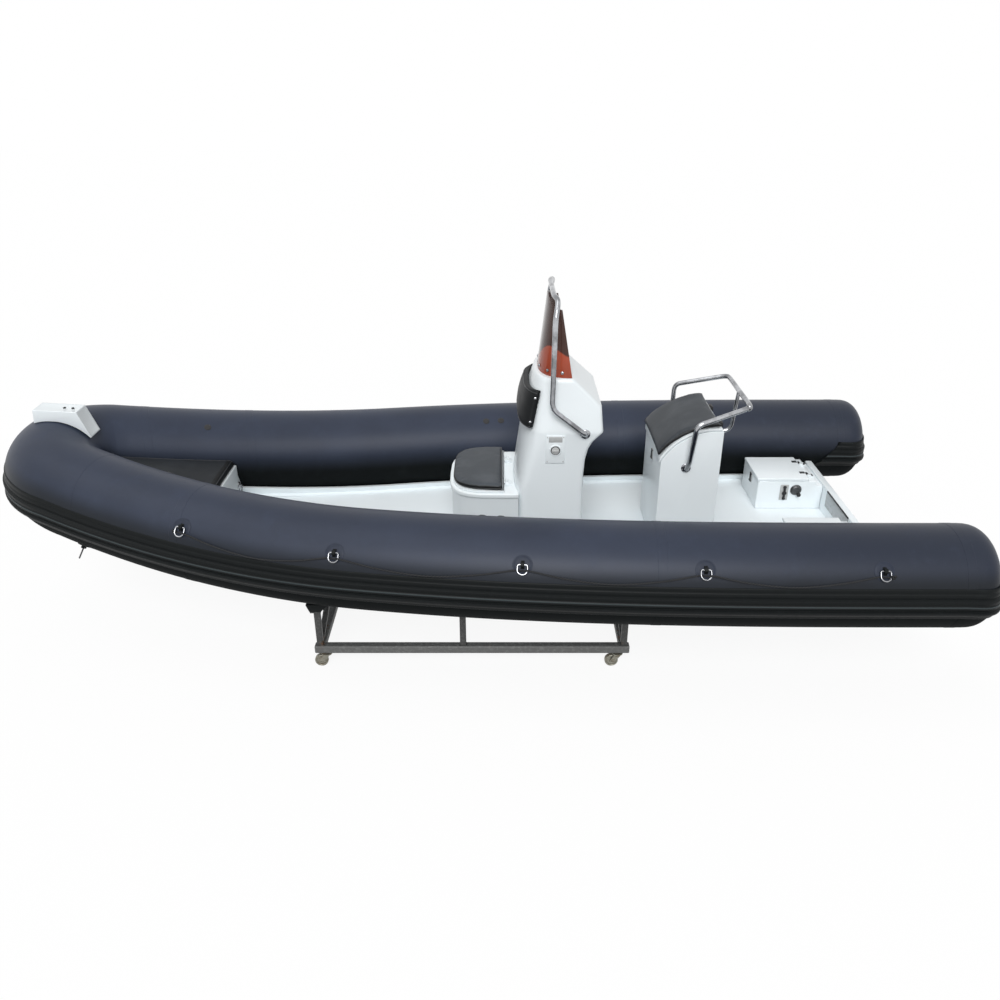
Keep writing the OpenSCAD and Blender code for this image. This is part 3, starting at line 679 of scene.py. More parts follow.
def brushed_plate(colours):
    """Brushed metal plate with clamp marks and a dull film."""
    p = Paint("brushed_plate", metallic=1.0)
    lines = p.noise(90, 3, 0.5, stretch=(1, 0.05, 1))
    marks = p.noise(30, 6, 0.7).clipped(0.55, 0.72)
    tone = p.mix(lines, (0.3, 0.305, 0.31), (0.54, 0.545, 0.55))
    return p.done(p.mix(marks * 0.6, tone, (0.12, 0.12, 0.12)),
                  0.34 + 0.18 * lines + 0.12 * marks, lines, 0.12, 0.0006)


def zinc(colours):
    """Zinc plated caster steel with yellowed, rusty patches."""
    p = Paint("zinc", specular_ior_level=0.5)
    rust = p.noise(38, 7, 0.7).clipped(0.5, 0.66)
    film = p.noise(90, 4, 0.6)
    clean = p.mix(film, (0.17, 0.165, 0.13), (0.36, 0.35, 0.3))
    p.set("Metallic", 0.8 - 0.75 * rust)
    return p.done(p.mix(rust, clean, (0.12, 0.07, 0.03)), 0.42 + 0.4 * rust, rust + 0.3 * film, 0.2, 0.0006)


def cradle_paint(colours):
    """Grey steel tube, scuffed, with a few rust spots at the feet of its end posts."""
    p = Paint("cradle_paint", specular_ior_level=0.35)
    middle = (CRADLE_FRONT + CRADLE_REAR) / 2
    reach = p.distance(p.axis("X"), middle)
    foot = reach.clipped(0.68, 0.8) * (1 - p.axis("Z").clipped(0.15, 0.24))
    blotch = (p.noise(22, 8, 0.68) + 0.13 * foot).clipped(0.68, 0.76)
    scuff = p.noise(70, 5, 0.65).clipped(0.45, 0.7)
    base = colours.cradle
    upright = p.axis("Z").clipped(BAR_Z + BAR - 0.001, BAR_Z + BAR + 0.001)
    tone = p.mix(upright, p.mix(scuff, shaded(base, 0.85), shaded(base, 1.25)),
                 p.mix(scuff, shaded(base, 0.4), shaded(base, 0.75)))
    fine = p.mix(p.noise(120, 4), (0.09, 0.045, 0.022), (0.2, 0.1, 0.05))
    p.set("Metallic", 0.2 - 0.2 * blotch)
    return p.done(p.mix(blotch, tone, fine),
                  0.5 + 0.3 * blotch + 0.1 * scuff, 0.6 * scuff - blotch, 0.2, 0.0008)


def smoked_acrylic(colours):
    """Smoked acrylic: bright amber under an arch along its foot, dark brown above."""
    p = Paint("smoked_acrylic", ior=1.49, specular_ior_level=0.3)
    haze = p.noise(14, 5, 0.6)
    run = 2 * p.uv("Y") - 1
    inward = 1 - p.distance(run, 0)
    swell = p.curve("SINE", pi * inward)
    level = p.axis("Z") - CONSOLE_TOP
    high = (level - 0.07 * swell + 0.05 * inward).clipped(0.1, 0.112)
    amber = p.mix(level.clipped(0, 0.12), shaded(colours.acrylic, 0.8), colours.acrylic)
    p.set("Base Color", p.mix(high, amber, p.mix(haze, (0.05, 0.022, 0.016), (0.09, 0.042, 0.034))))
    p.set("Alpha", 0.88 + 0.07 * high - 0.16 * level.clipped(0.22, 0.4))
    p.set("Roughness", 0.06 + 0.06 * haze)
    return p.material


def black_plastic(colours):
    """Black moulded plastic with a fine matt grain."""
    p = Paint("black_plastic", specular_ior_level=0.45)
    return p.done(p.mix(p.noise(60, 4), (0.008, 0.008, 0.009), (0.02, 0.02, 0.022)),
                  0.42 + 0.14 * p.noise(150, 3), p.noise(900, 2), 0.1, 0.0004)


def hinge_plastic(colours):
    """Moulded hinge leaves: white at the front seat, black on the helm seat, a black strip on the lockers."""
    p = Paint("hinge_plastic", specular_ior_level=0.4)
    aside = p.distance(p.distance(p.distance(p.axis("Y"), 0), LOCKER_IN + 0.16), 0.08) > 0.0135
    white = (p.axis("X") > at_mid(-0.6)) + (1 - (p.axis("X") > LOCKER_FRONT)) * aside
    return p.done(p.mix(white, (0.012, 0.012, 0.013), shaded(colours.gelcoat, 0.92)),
                  0.4 + 0.14 * p.noise(150, 3), p.noise(900, 2), 0.1, 0.0004)


def pale_plastic(colours):
    """Pale grey moulded plastic of the switch dial and the fitting's plate, with a little grime."""
    p = Paint("pale_plastic", specular_ior_level=0.4)
    return p.done(p.mix(p.noise(50, 5, 0.6), (0.36, 0.37, 0.37), (0.56, 0.57, 0.57)),
                  0.38 + 0.14 * p.noise(120, 3), p.noise(700, 2), 0.08, 0.0004)


STRAND_TURNS = 18.85
STRAND_PITCH = 2600


def rope(colours):
    """Dark laid rope; its strands follow the length of the line."""
    p = Paint("rope", specular_ior_level=0.3)
    strand = p.curve("SINE", STRAND_TURNS * p.uv("X") + STRAND_PITCH * p.uv("Y"))
    fibre = p.noise(1800, 3)
    base = colours.rope
    return p.done(p.mix(strand.clipped(-1, 1), shaded(base, 0.5), shaded(base, 1.7)),
                  0.7 + 0.15 * fibre, strand + 0.4 * fibre, 0.6, 0.0012)


RECIPES = {f.__name__: f for f in (
    gelcoat, deck_gelcoat, tube_cloth, patch_cloth, black_rubber, strake_rubber, front_vinyl, helm_vinyl,
    dark_vinyl, bow_vinyl, piping, stainless, dark_steel, brushed_plate, zinc, cradle_paint, smoked_acrylic,
    black_plastic, hinge_plastic, pale_plastic, rope)}


# Tubes, strake and nose


def tube_row(p, radius, s, sides):
    """Ring of points round the tube at a path point."""
    return [off(p, -radius * cos(a), radius * sin(a), s) for a in angles(sides)]


SEAM_SHARES = (0.012, 0.326, 0.84, 0.965)
STRAKE_SEAT = 0.004
STRAKE_POWER = 0.77
DOME_POWER = 2 / 2.6
SIDE_STEPS = 64
NOSE_STEPS = 22


def dome_rows(s, sides, steps=14):
    """Rings of the rounded stern end, from its tip to the tube."""
    rows = []
    for k in range(steps):
        turn = pi / 2 * (1 - k / steps)
        x = STERN_X - (DOME - STRAKE_SEAT) * power(sin(turn), DOME_POWER)
        rows.append(tube_row((x, STERN_HALF, TUBE_Z, 0), TUBE_R * power(cos(turn), DOME_POWER), s, sides))
    return rows


def make_tubes():
    """One smooth collar from stern to stern, with its welded seam bands."""
    sizes = bpy.context.scene.boat_sizes
    sides = 72
    path = side_run(0, 1, SIDE_STEPS) + nose_run(NOSE_STEPS)
    port = dome_rows(1, sides) + [tube_row(p, TUBE_R, 1, sides) for p in path]
    starboard = dome_rows(-1, sides) + [tube_row(p, TUBE_R, -1, sides) for p in path[:-1]]
    collar = loft("tube_collar_skin", port + starboard[::-1], smooth=60)
    finish(collar, "tube_fabric", "tube_cloth", "tube_collar")
    bands = []
    half = sizes.seam_width / 2 / SIDE_LEN
    high = sizes.seam_height
    for share in SEAM_SHARES:
        for s in SIDES:
            rows = []
            for step, lift in ((-1, -0.001), (-0.93, high), (0.93, high), (1, -0.001)):
                rows.append(tube_row(side_pt(share + step * half), TUBE_R + lift, s, sides))
            bands.append(loft("seam", rows + [rows[0]], caps=False, smooth=40))
    finish(joined("tube_seams", bands), "tube_fabric", "tube_cloth")


# Height on the tube and thickness of the strake there, in millimetres
STRAKE = (
    (24, 1.5), (23.4, 3), (18, 3.4), (16.6, 5), (15.6, 9.5), (13.6, 11.8), (10, 12), (6, 12), (3, 11.6),
    (1, 9.6), (-1.5, 7.4), (-6, 6.6), (-10.5, 7.4), (-13, 9.6), (-15, 11.6), (-18, 12), (-26, 12),
    (-29, 11.6), (-31, 9.6), (-33.5, 7.6), (-38, 6.8), (-41.5, 8), (-44, 14), (-46.4, 18.4), (-49.6, 20),
    (-58.4, 20), (-61.6, 18.4), (-64, 14), (-66.5, 8.4), (-70, 6.4), (-80, 6), (-88, 6), (-90, 4.4))


def strake_flat(p):
    """Strake place on the tube: plan point, outward direction and fall of the skin."""
    return Vector((p[0], p[1], p[2])), Vector((sin(p[3]), cos(p[3]), 0)), 1.0


def strake_dome(turn):
    """Strake place round a stern end."""
    gx = -sin(turn)
    gy = cos(turn)
    out = Vector((gx * TUBE_R, gy * DOME, 0)).normalized()
    at = Vector((STERN_X + DOME * power(gx, STRAKE_POWER),
                 STERN_HALF + (TUBE_R + STRAKE_SEAT) * power(gy, STRAKE_POWER), TUBE_Z))
    return at - out * TUBE_R, out, 0.25 + 0.75 * gy * gy


def strake_row(place, s, slant, section):
    """Ring of the strake at a place; a slant draws the upper edge aft."""
    at, out, fall = place
    outer = []
    inner = []
    for height, thick in section:
        h = height / 1000
        skin = TUBE_R - fall * (TUBE_R - sqrt(TUBE_R**2 - h * h)) + 0.0004
        shift = Vector((-slant * (h + 0.09), 0, h))
        outer.append(at + out * (skin + thick / 1000) + shift)
        inner.append(at + out * skin + shift)
    ring = outer + inner[::-1]
    return [Vector((p.x, s * p.y, p.z)) for p in ring]


# The same for the thin ribs above it
THIN_RIBS = (
    (71.5, 0.3), (70.6, 1.4), (69, 2.6), (66, 3.0), (59, 3.0), (56, 2.4), (54, 0.9), (48, 0.8), (46, 1.2),
    (44, 2.6), (41, 3.2), (33, 3.2), (30, 2.6), (28, 1.0), (24.2, 0.8))


def make_strake():
    """Ribbed rub strake along both sides, round the stern ends to slanted ends on the inner side."""
    inner = [(strake_flat((STERN_X + x, STERN_HALF, TUBE_Z, pi)), slant)
             for x, slant in ((0.2, 0.95), (0.15, 0.55), (0.1, 0.2), (0.04, 0.0))]
    dome = [(strake_dome(radians(a)), 0.0) for a in range(180, -1, -4)]
    side = [(strake_flat(p), 0.0) for p in side_run(0, 1, SIDE_STEPS)[1:] + nose_run(NOSE_STEPS)]
    half = inner + dome + side
    for name, section, material, nodes in (
            ("rub_strake_ribs", STRAKE, "strake_rubber", ["rub_strake"]),
            ("rub_strake_thin_ribs", THIN_RIBS, "black_rubber", [])):
        rows = [strake_row(q, 1, slant, section) for q, slant in half]
        rows += [strake_row(q, -1, slant, section) for q, slant in half[-2::-1]]
        finish(loft(name, rows, smooth=28), "strake_rubber", material, *nodes)


def make_nose():
    """White saddle over the nose of the tubes, with its small fittings."""
    saddle = softened("nose_piece", 0.011, 4, 30)
    edit(saddle)
    bpy.ops.mesh.select_mode(type="FACE")
    bpy.ops.mesh.select_all(action="DESELECT")
    bpy.ops.object.mode_set(mode="OBJECT")
    for face in saddle.data.polygons:
        face.select = face.area > 0.003 and abs(face.normal.y) < 0.3
    bpy.ops.object.mode_set(mode="EDIT")
    bpy.ops.mesh.inset(thickness=0.007, depth=-0.0025, use_individual=True)
    bpy.ops.mesh.select_mode(type="VERT")
    bpy.ops.object.mode_set(mode="OBJECT")
    shade(saddle, 30)
    finish(saddle, "gelcoat", "gelcoat", "nose_piece")
    top = TUBE_Z + BOW_RISE + TUBE_R
    caps = []
    for x in (-0.125, -0.08):
        z = top + lerp(0.066, 0.053, (0.066 - x) / 0.231)
        cap = turned("cap", ((0, 4.2), (5, 3.6), (7.8, 1), (8.2, -4), (0, -4)), 20)
        caps.append(moved(cap, Matrix.Translation((TIP_X + x, 0, z))))
    eye = turned("eye", ((0, 6), (6, 5), (11, 2), (12, -4), (0, -4)), 24)
    caps.append(moved(eye, placed((TIP_X + 0.0715, 0, top + 0.012), (0, 0, -1), (0, 1, 0), (1, 0, 0.1))))
    finish(joined("nose_fittings", caps), "black_plastic", "black_plastic")


# Hull, deck and bow

KEEL_X = along(0.6)
STEM_X = TIP_X - 0.4 * TUBE_R
CHINE_IN = 0.276 * TUBE_R
CHINE_DROP = 1.028 * TUBE_R
KEEL_DEPTH = 0.243


def keel_fall(x):
    """Depth of the keel below the chine."""
    return KEEL_DEPTH * (1 - max(0.0, (x - KEEL_X) / (STEM_X - KEEL_X)) ** 2.4) + 0.012


def share_at(x):
    """Share of the side at a station."""
    return (x - STERN_X) / SIDE_LEN


def port_row(row):
    """Ring across the boat from its port half, keel or centre first."""
    return row + [Vector((p.x, -p.y, p.z)) for p in row[::-1] if abs(p.y) > 1e-6]


def make_hull():
    """V hull with a rounded keel and chine, deck, coamings and transom."""
    path = side_run(share_at(TRANSOM_X + 0.0005), 1, 48) + nose_run(12, 4 / 6)
    rows = []
    for p in path:
        chine = off(p, CHINE_IN, -CHINE_DROP)
        top = off(p, DECK_EDGE - 0.008, -DECK_DROP - DECK_T)
        keel = Vector((chine.x, 0, chine.z - keel_fall(chine.x)))
        rise_to = [keel.lerp(chine, t) for t in (0.06, 0.2, 0.4, 0.6, 0.8, 0.94)]
        keel.z += 0.004
        rows.append(port_row([keel] + rise_to + [chine, top]))
    hull = rounded(loft("hull_shell", rows, smooth=0), 0.007, 3, 30)
    finish(hull, "gelcoat", "gelcoat", "hull")

    path = side_run(share_at(TRANSOM_X + 0.0005), 1, 48) + nose_run(9, 3 / 6)
    rows = []
    for p in path:
        low = off(p, DECK_EDGE, -DECK_DROP - DECK_T + 0.0005)
        high = off(p, DECK_EDGE, -DECK_DROP)
        rows.append(port_row([low, high, Vector((high.x, high.y * 0.5, high.z))]))
    deck = loft("deck_panel", rows, smooth=30)
    finish(deck, "gelcoat", "deck_gelcoat", "deck")

    strips = []
    first = share_at(TRANSOM_X + 0.06)
    last = share_at(BOW_FACE_X + 0.12)
    for s in SIDES:
        rows = []
        for p in side_run(first, last, 44):
            top = 0.045 - DECK_DROP + 0.35 * (p[2] - TUBE_Z)
            lean = sqrt((TUBE_R + 0.010) ** 2 - top * top)
            rows.append([off(p, DECK_EDGE + 0.002, 0.0005 - DECK_DROP, s), off(p, lean, top, s),
                         off(p, lean + 0.022, top, s), off(p, DECK_EDGE + 0.05, 0.008 - DECK_DROP, s),
                         off(p, DECK_EDGE + 0.076, 0.0005 - DECK_DROP, s)])
        strip = loft("strip", rows, smooth=0)
        edit(strip)
        bpy.ops.mesh.bisect(plane_co=(BOW_FACE_X - 0.0008, 0, 0), plane_no=(1, 0, 0), use_fill=True,
                            clear_outer=True)
        bpy.ops.object.mode_set(mode="OBJECT")
        strips.append(rounded(strip, 0.006, 3, 22))
    finish(joined("coaming_strips", strips), "gelcoat", "gelcoat", "coaming")

    eased("transom", "gelcoat", "gelcoat", 0.006, 3)
    eased("engine_plates", "stainless", "brushed_plate", 0.0016)
    strip = block("plate_seal", (0.006, 0.34, 0.009), (TRANSOM_X + 0.0025, 0, DECK_Z + 0.155), 0.002)
    finish(strip, "black_plastic", "black_plastic")


BOW_SIDE = 1.036
BOW_SECTION = ((0.632, 0.006 - 0.84), (0.86, -0.56), (1.032, -0.2), (BOW_SIDE, 0.06))
BOW_PAD = (0.062, 0.228)
BOW_END_X = NOSE_CX + 0.9 * (NOSE_R - BOW_SIDE * TUBE_R)


def inner_cut(x, inboard):
    """Inner side of the tubes on a cut across the boat: half width and height of the tube centre."""
    radius = max(NOSE_R - inboard, 0.012)
    turn = (x - NOSE_CX) / radius
    if turn > sin(JOINT_TURN):
        return radius * cos(asin(min(1.0, turn))), TUBE_Z + rise(NOSE_CX + NOSE_R * turn)
    near = side_pt(share_at(x + inboard * 0.27))
    p = side_pt(share_at(x + inboard * sin(near[3])))
    return p[1] - inboard * cos(p[3]), p[2]


def make_bow():
    """Bow locker under the bow cushion, with the rings on its face."""
    rows = []
    for k in range(31):
        x = lerp(BOW_FACE_X, BOW_END_X, 1 - (1 - k / 30) ** 1.4)
        half = []
        for inboard, up in BOW_SECTION:
            y, z = inner_cut(x, inboard * TUBE_R)
            half.append(Vector((x, y, z + up * TUBE_R)))
        rows.append(port_row(half))
    locker = rounded(loft("bow_locker_shell", rows, smooth=0), 0.006, 3, 34)
    finish(locker, "gelcoat", "gelcoat", "bow_locker")
    rings = []
    plates = []
    for s in SIDES:
        spot = Vector((BOW_FACE_X - 0.0003, s * 0.235, DECK_Z + 0.168))
        plate = turned("plate", ((0, 6), (12, 5.6), (16.5, 3.5), (18, 1), (18, 0), (0, 0)), 32)
        plates.append(moved(plate, placed(spot, (0, 1, 0), (0, 0, 1), (-1, 0, 0))))
        saddle = bent([(0, -0.01, 0.003), (0, -0.01, 0.0125), (0, 0.01, 0.0125), (0, 0.01, 0.003)], 0.006, 5)
        plates.append(moved(bar("saddle", saddle, 0.0028, 12),
                            placed(spot, (0, 0, 1), (0, 1, 0), (-1, 0, 0))))
        ring = flat_ring("ring", circle(0.024, 48), 0.003)
        rings.append(moved(ring, placed(spot + Vector((-0.009, 0, -0.024)), (0, 1, 0), (0, 0, 1), (1, 0, 0))))
    finish(joined("locker_ring_set", plates + rings), "stainless", "stainless", "locker_rings")


# Console, windshield and rails


def at_mid(x):
    """Station given from the middle of the boat."""
    return MID_X + x


# Height above the deck, front, back, narrowing on each side and depth of the rounded front, in millimetres
CONSOLE_LEVELS = (
    (0.5, -240, -605, 0, 72), (385, -240, -600, 0, 72), (470, -250, -600, 0, 94), (560, -262, -606, 0, 114),
    (620, -270, -620, 0, 127), (660, -275, -642, 0, 136), (690, -279, -672, 0, 145),
    (712, -282, -694, 0, 149), (842, -297, -682, 32, 169), (980, -342, -535, 62, 148))
CONSOLE_HALF = 0.29
CONSOLE_POWER = 0.7
CONSOLE_TOP = DECK_Z + 0.98


def front_pt(turn, front, depth, half, exponent):
    """Rounded front of an outline: x and y at a turning angle."""
    return (at_mid(front) - depth + depth * power(cos(turn), exponent), half * power(sin(turn), exponent))


def between(table, value):
    """Row of a table at a value of its first column."""
    for a, b in zip(table, table[1:]):
        if value <= b[0] or b is table[-1]:
            t = (value - a[0]) / (b[0] - a[0])
            return [lerp(p, q, t) for p, q in zip(a, b)]


def d_outline(front, depth, half, exponent, back, corner, step):
    """D outline: rounded front, straight sides and rounded back corners."""
    points = [front_pt(radians(a), front, depth, half, exponent) for a in range(-90, 91, step)]
    for s in SIDES:
        for k in range(7):
            turn = pi / 2 * (k if s > 0 else 6 - k) / 6
            points.append((at_mid(back) + corner * (1 - sin(turn)), s * (half - corner * (1 - cos(turn)))))
    return points


def console_outline(level):
    """Outline of the console at a level."""
    z, front, back, narrow, depth = (v / 1000 for v in level)
    outline = d_outline(front, depth, CONSOLE_HALF - narrow, CONSOLE_POWER, back, 0.022, 5)
    return [Vector((x, y, DECK_Z + z)) for x, y in outline]


CONSOLE_HEIGHTS = (
    0.5, 8, 200, 385, 425, 470, 515, 560, 590, 620, 640, 660, 675, 690, 701, 709, 718, 735, 790, 842, 880,
    920, 955, 972, 978, 980)


def make_console():
    """Moulded console with its rolled dash edge and its switch plate."""
    rows = []
    for height in CONSOLE_HEIGHTS:
        level = between(CONSOLE_LEVELS, height)
        row = console_outline(level)
        close = max(0.0, (height - 972) / 8)
        if close:
            centre = sum(row, Vector()) / len(row)
            inset = 0.012 * (1 - sqrt(max(0.0, 1 - close * close)))
            row = [p + (Vector((centre.x, centre.y, p.z)) - p).normalized() * inset for p in row]
        rows.append(row)
    console = loft("console_shell", rows, smooth=38)
    finish(console, "gelcoat", "gelcoat", "console")

    y = CONSOLE_HALF + 0.0005
    plate = block("plate", (0.1, 0.005, 0.155), (at_mid(-0.448), y + 0.0025, DECK_Z + 0.6225), 0.0022, 3)
    recess = block("recess", (0.07, 0.0016, 0.03), (at_mid(-0.448), y + 0.0055, DECK_Z + 0.678), 0.0007)
    face = on_wall((at_mid(-0.448), y + 0.0045, DECK_Z + 0.618))
    collar = turned("collar", ((0, 4), (24, 4), (26, 6), (29, 6), (31, 3), (31, 0), (0, 0)), 48)
    finish(joined("switch_plate", [plate, moved(collar, face)]), "gelcoat", "gelcoat", "switch_panel")
    knob = turned("knob", ((0, 12.5), (16, 12.5), (19, 11), (21, 3.5), (0, 3.5)), 40)
    grip = block("grip", (0.036, 0.011, 0.007), (0, 0, 0.0115), 0.0022, 3)
    groove = flat_ring("switch_groove", circle(0.0225, 40), 0.0018, 8)
    finish(moved(groove, face @ Matrix.Translation((0, 0, 0.0046))), "black_plastic", "black_plastic")
    screws = [moved(turned("screw", ((0, 1.8), (3, 1.2), (3.6, -1), (0, -1)), 14),
                    on_wall((at_mid(x), y + 0.005, DECK_Z + z)))
              for x in (-0.489, -0.407) for z in (0.555, 0.69)]
    finish(joined("switch_knob", [moved(knob, face), moved(grip, face), recess] + screws), "black_plastic",
           "pale_plastic")


def shield_pt(turn, half, depth, back, z):
    """Point of the windshield sheet."""
    return Vector((at_mid(back) + depth * power(cos(turn), 0.8), half * power(sin(turn), 0.8), z))


# Half width, depth and back edge of the windshield at its foot, and its thickness
SHIELD_FOOT = (0.216, 0.17, -0.528)
SHIELD_T = 0.005


def make_windshield():
    """Wrapped amber windshield with its base bolts."""
    rows = []
    for k in range(61):
        turn = radians(90 - 3 * k)
        top = CONSOLE_TOP + 0.385 - 0.045 * sin(turn) ** 2
        low = CONSOLE_TOP + 0.0005
        outer, inner = [
            [shield_pt(turn, lerp(SHIELD_FOOT[0], 0.178, t) - inside, lerp(SHIELD_FOOT[1], 0.066, t) - inside,
                       lerp(SHIELD_FOOT[2], -0.47, t), lerp(low, top, t))
             for t in (n / 10 for n in range(11))]
            for inside in (0.0, SHIELD_T)]
        rows.append(outer + inner[::-1])
    sheet = rounded(loft("windshield_sheet", rows, smooth=0), 0.0016, 3, 50)
    finish(sheet, "smoked_acrylic", "smoked_acrylic", "windshield")
    bolts = []
    for degrees in (-78, -48, -18, 18, 48, 78):
        turn = radians(degrees)
        near = shield_pt(turn, 0.2135, 0.163, -0.524, CONSOLE_TOP + 0.028)
        ahead = shield_pt(turn + 0.02, 0.2135, 0.163, -0.524, CONSOLE_TOP + 0.028) - near
        out = Vector((ahead.y, -ahead.x, 0)).normalized()
        bolt = turned("bolt", ((0, 6.2), (4.5, 5.8), (7.5, 4), (8.5, 1.5), (8.5, -1), (0, -1)), 20)
        bolts.append(moved(bolt, placed(near + out * 0.0016, (0, 0, 1), out.cross(UP), out)))
    finish(joined("windshield_bolts", bolts), "stainless", "stainless")


CONSOLE_ROUTE = ((-0.6, 0.299, -0.274), (-0.592, 0.317, -0.262), (-0.425, 0.317, -0.13), (-0.43, 0.297, 0.33),
                 (-0.446, 0.245, 0.402), (-0.426, 0.175, 0.412))
HELM_ROUTE = ((-1.142, 0.266, 0.498), (-1.149, 0.29, 0.545), (-1.162, 0.322, 0.764), (-1.436, 0.255, 0.837),
              (-1.444, 0.215, 0.837))
HELM_STRUT = ((-1.442, 0.837), (-1.424, 0.612), (-1.326, 0.6))


def hoop(name, table, up, reach, radius):
    """Bent rail over both sides from its port half."""
    half = [Vector((at_mid(x), y, up + z)) for x, y, z in table]
    return bar(name, bent(half + [Vector((p.x, -p.y, p.z)) for p in half[::-1]], reach, 10), radius, 24)


def flange(name, spot, out, radius):
    """Round foot plate of a rail with its screws."""
    plate = lathe(name, ((0, 0.006), (radius * 0.55, 0.006), (radius * 0.86, 0.005), (radius * 0.97, 0.003),
                         (radius, 0.0012), (radius, 0), (0, 0)), 40)
    screws = [moved(turned("screw", ((0, 2.2), (2.8, 1.8), (4.2, 0), (4.2, -1), (0, -1)), 14),
                    Matrix.Translation((0.76 * radius * cos(a), 0.76 * radius * sin(a), 0.0052)))
              for a in (pi / 2 * k + 0.4 for k in range(4))]
    return moved(joined(name, [plate] + screws), standing(spot, out))


def make_rails():
    """Polished rails over the console and behind the helm seat."""
    radius = bpy.context.scene.boat_sizes.rail / 2
    parts = [hoop("console_hoop", CONSOLE_ROUTE, CONSOLE_TOP, 0.04, radius)]
    for s in SIDES:
        foot = (at_mid(-0.6), s * (CONSOLE_HALF + 0.0005), CONSOLE_TOP - 0.274)
        parts.append(flange("foot", foot, (0, s, 0), 0.026))
    finish(joined("console_rail_bar", parts), "stainless", "stainless", "console_rail")
    parts = [hoop("helm_hoop", HELM_ROUTE, DECK_Z, 0.034, radius)]
    strut = [(at_mid(x), 0, DECK_Z + z) for x, z in HELM_STRUT]
    parts.append(bar("strut", bent(strut, 0.04), 0.8 * radius, 20))
    for s in SIDES:
        parts.append(flange("foot", (at_mid(-1.142), s * 0.2505, DECK_Z + 0.498), (0, s, 0), 0.026))
    parts.append(flange("foot", (at_mid(-1.3225), 0, DECK_Z + 0.6), (-1, 0, 0), 0.026))
    knob = turned("knob", ((0, 19), (8, 17.5), (14.5, 11), (17.5, 0), (14.5, -11), (8, -17.5),
                           (0, -19)), 28, 60)
    parts.append(moved(knob, Matrix.Translation((at_mid(-1.433), 0.252, DECK_Z + 0.837))))
    finish(joined("helm_rail_bar", parts), "stainless", "stainless", "helm_rail")


# Cushions

PAD_FOOT = 0.0145
PAD_VOXEL = 0.0055
PUFF_CAP = 0.006
PUFF_PRESSURE = 4
PUFF_FRAMES = 20
WELT_SIDES = 10


def end_share(k, steps, run, least):
    """Share of the full section that a ring has near the ends of its run."""
    near = min(1.0, min(k, steps - k) / run)
    return least + (1 - least) * sqrt(1 - (1 - near) ** 2)


def puffed(piece, voxel, cap, rest):
    """Cushion blown up by a cloth run; the cap limits each move, and rest keeps it off what carries it."""
    apply(piece, "REMESH", mode="VOXEL", voxel_size=voxel, use_smooth_shade=True)
    start = [v.co.copy() for v in piece.data.vertices]
    pick(piece)
    cloth = piece.modifiers.new("puff", "CLOTH")
    cloth.settings.use_pressure = True
    cloth.settings.uniform_pressure_force = PUFF_PRESSURE
    cloth.settings.quality = 5
    cloth.settings.effector_weights.gravity = 0
    scene = bpy.context.scene
    for number in range(1, PUFF_FRAMES + 1):
        scene.frame_set(number)
    bpy.ops.object.modifier_apply(modifier=cloth.name)
    scene.frame_set(1)
    for vertex, old in zip(piece.data.vertices, start):
        move = vertex.co - old
        if move.length > cap:
            move *= cap / move.length
        vertex.co = old + move
    for vertex in piece.data.vertices:
        vertex.co = rest(vertex.co.copy())
    apply(piece, "SMOOTH", factor=0.5, iterations=4)
    for vertex in piece.data.vertices:
        vertex.co = rest(vertex.co.copy())
    pick(piece)
    bpy.ops.object.shade_smooth()
    return piece


def welt(piece, route, closed):
    """Piping laid on the skin of a cushion along a route."""
    radius = bpy.context.scene.boat_sizes.welt / 2
    spots = [piece.closest_point_on_mesh(Vector(point))[1:3] for point in route]
    count = len(spots)
    for _ in range(3):
        spots = [(spot, (spots[i - 1][1] + 2 * normal + spots[(i + 1) % count][1]).normalized()
                  if closed or 0 < i < count - 1 else normal) for i, (spot, normal) in enumerate(spots)]
    rows = []
    for i, (spot, normal) in enumerate(spots):
        if closed:
            ahead = spots[(i + 1) % count][0] - spots[i - 1][0]
        else:
            ahead = spots[min(i + 1, count - 1)][0] - spots[max(i - 1, 0)][0]
        across = ahead.cross(normal).normalized()
        out = across.cross(ahead).normalized()
        centre = spot + 0.25 * radius * out
        rows.append([centre + radius * (cos(a) * across + sin(a) * out) for a in angles(WELT_SIDES)])
    if closed:
        return loft("welt", rows + [rows[0]], caps=False, smooth=60)
    return loft("welt", rows, smooth=60)


def cushion(name, rows, rest, seams, body, node, material, voxel=PAD_VOXEL, cap=PUFF_CAP):
    """Cushion from its rings: puffed, piped along its seams, closed (True) or open, and finished."""
    pad = puffed(loft(name, rows, smooth=0), voxel, cap, rest)
    trims = [welt(pad, route, closed) for route, closed in seams]
    finish(pad, "vinyl", material, node, body=body)
    finish(joined(name + "_piping", trims), "vinyl", "piping", body=body)
    return pad


SEAT_FRONT = 0.1
SEAT_BACK = -0.183
SEAT_HALF = 0.273
SEAT_Z = DECK_Z + 0.36


def seat_outline(grow, back, corner=0.02, step=4):
    """D outline of the front seat, with rounded back corners."""
    return d_outline(SEAT_FRONT + grow, SEAT_FRONT - SEAT_BACK + grow, SEAT_HALF + grow, 0.55,
                     back, corner, step)


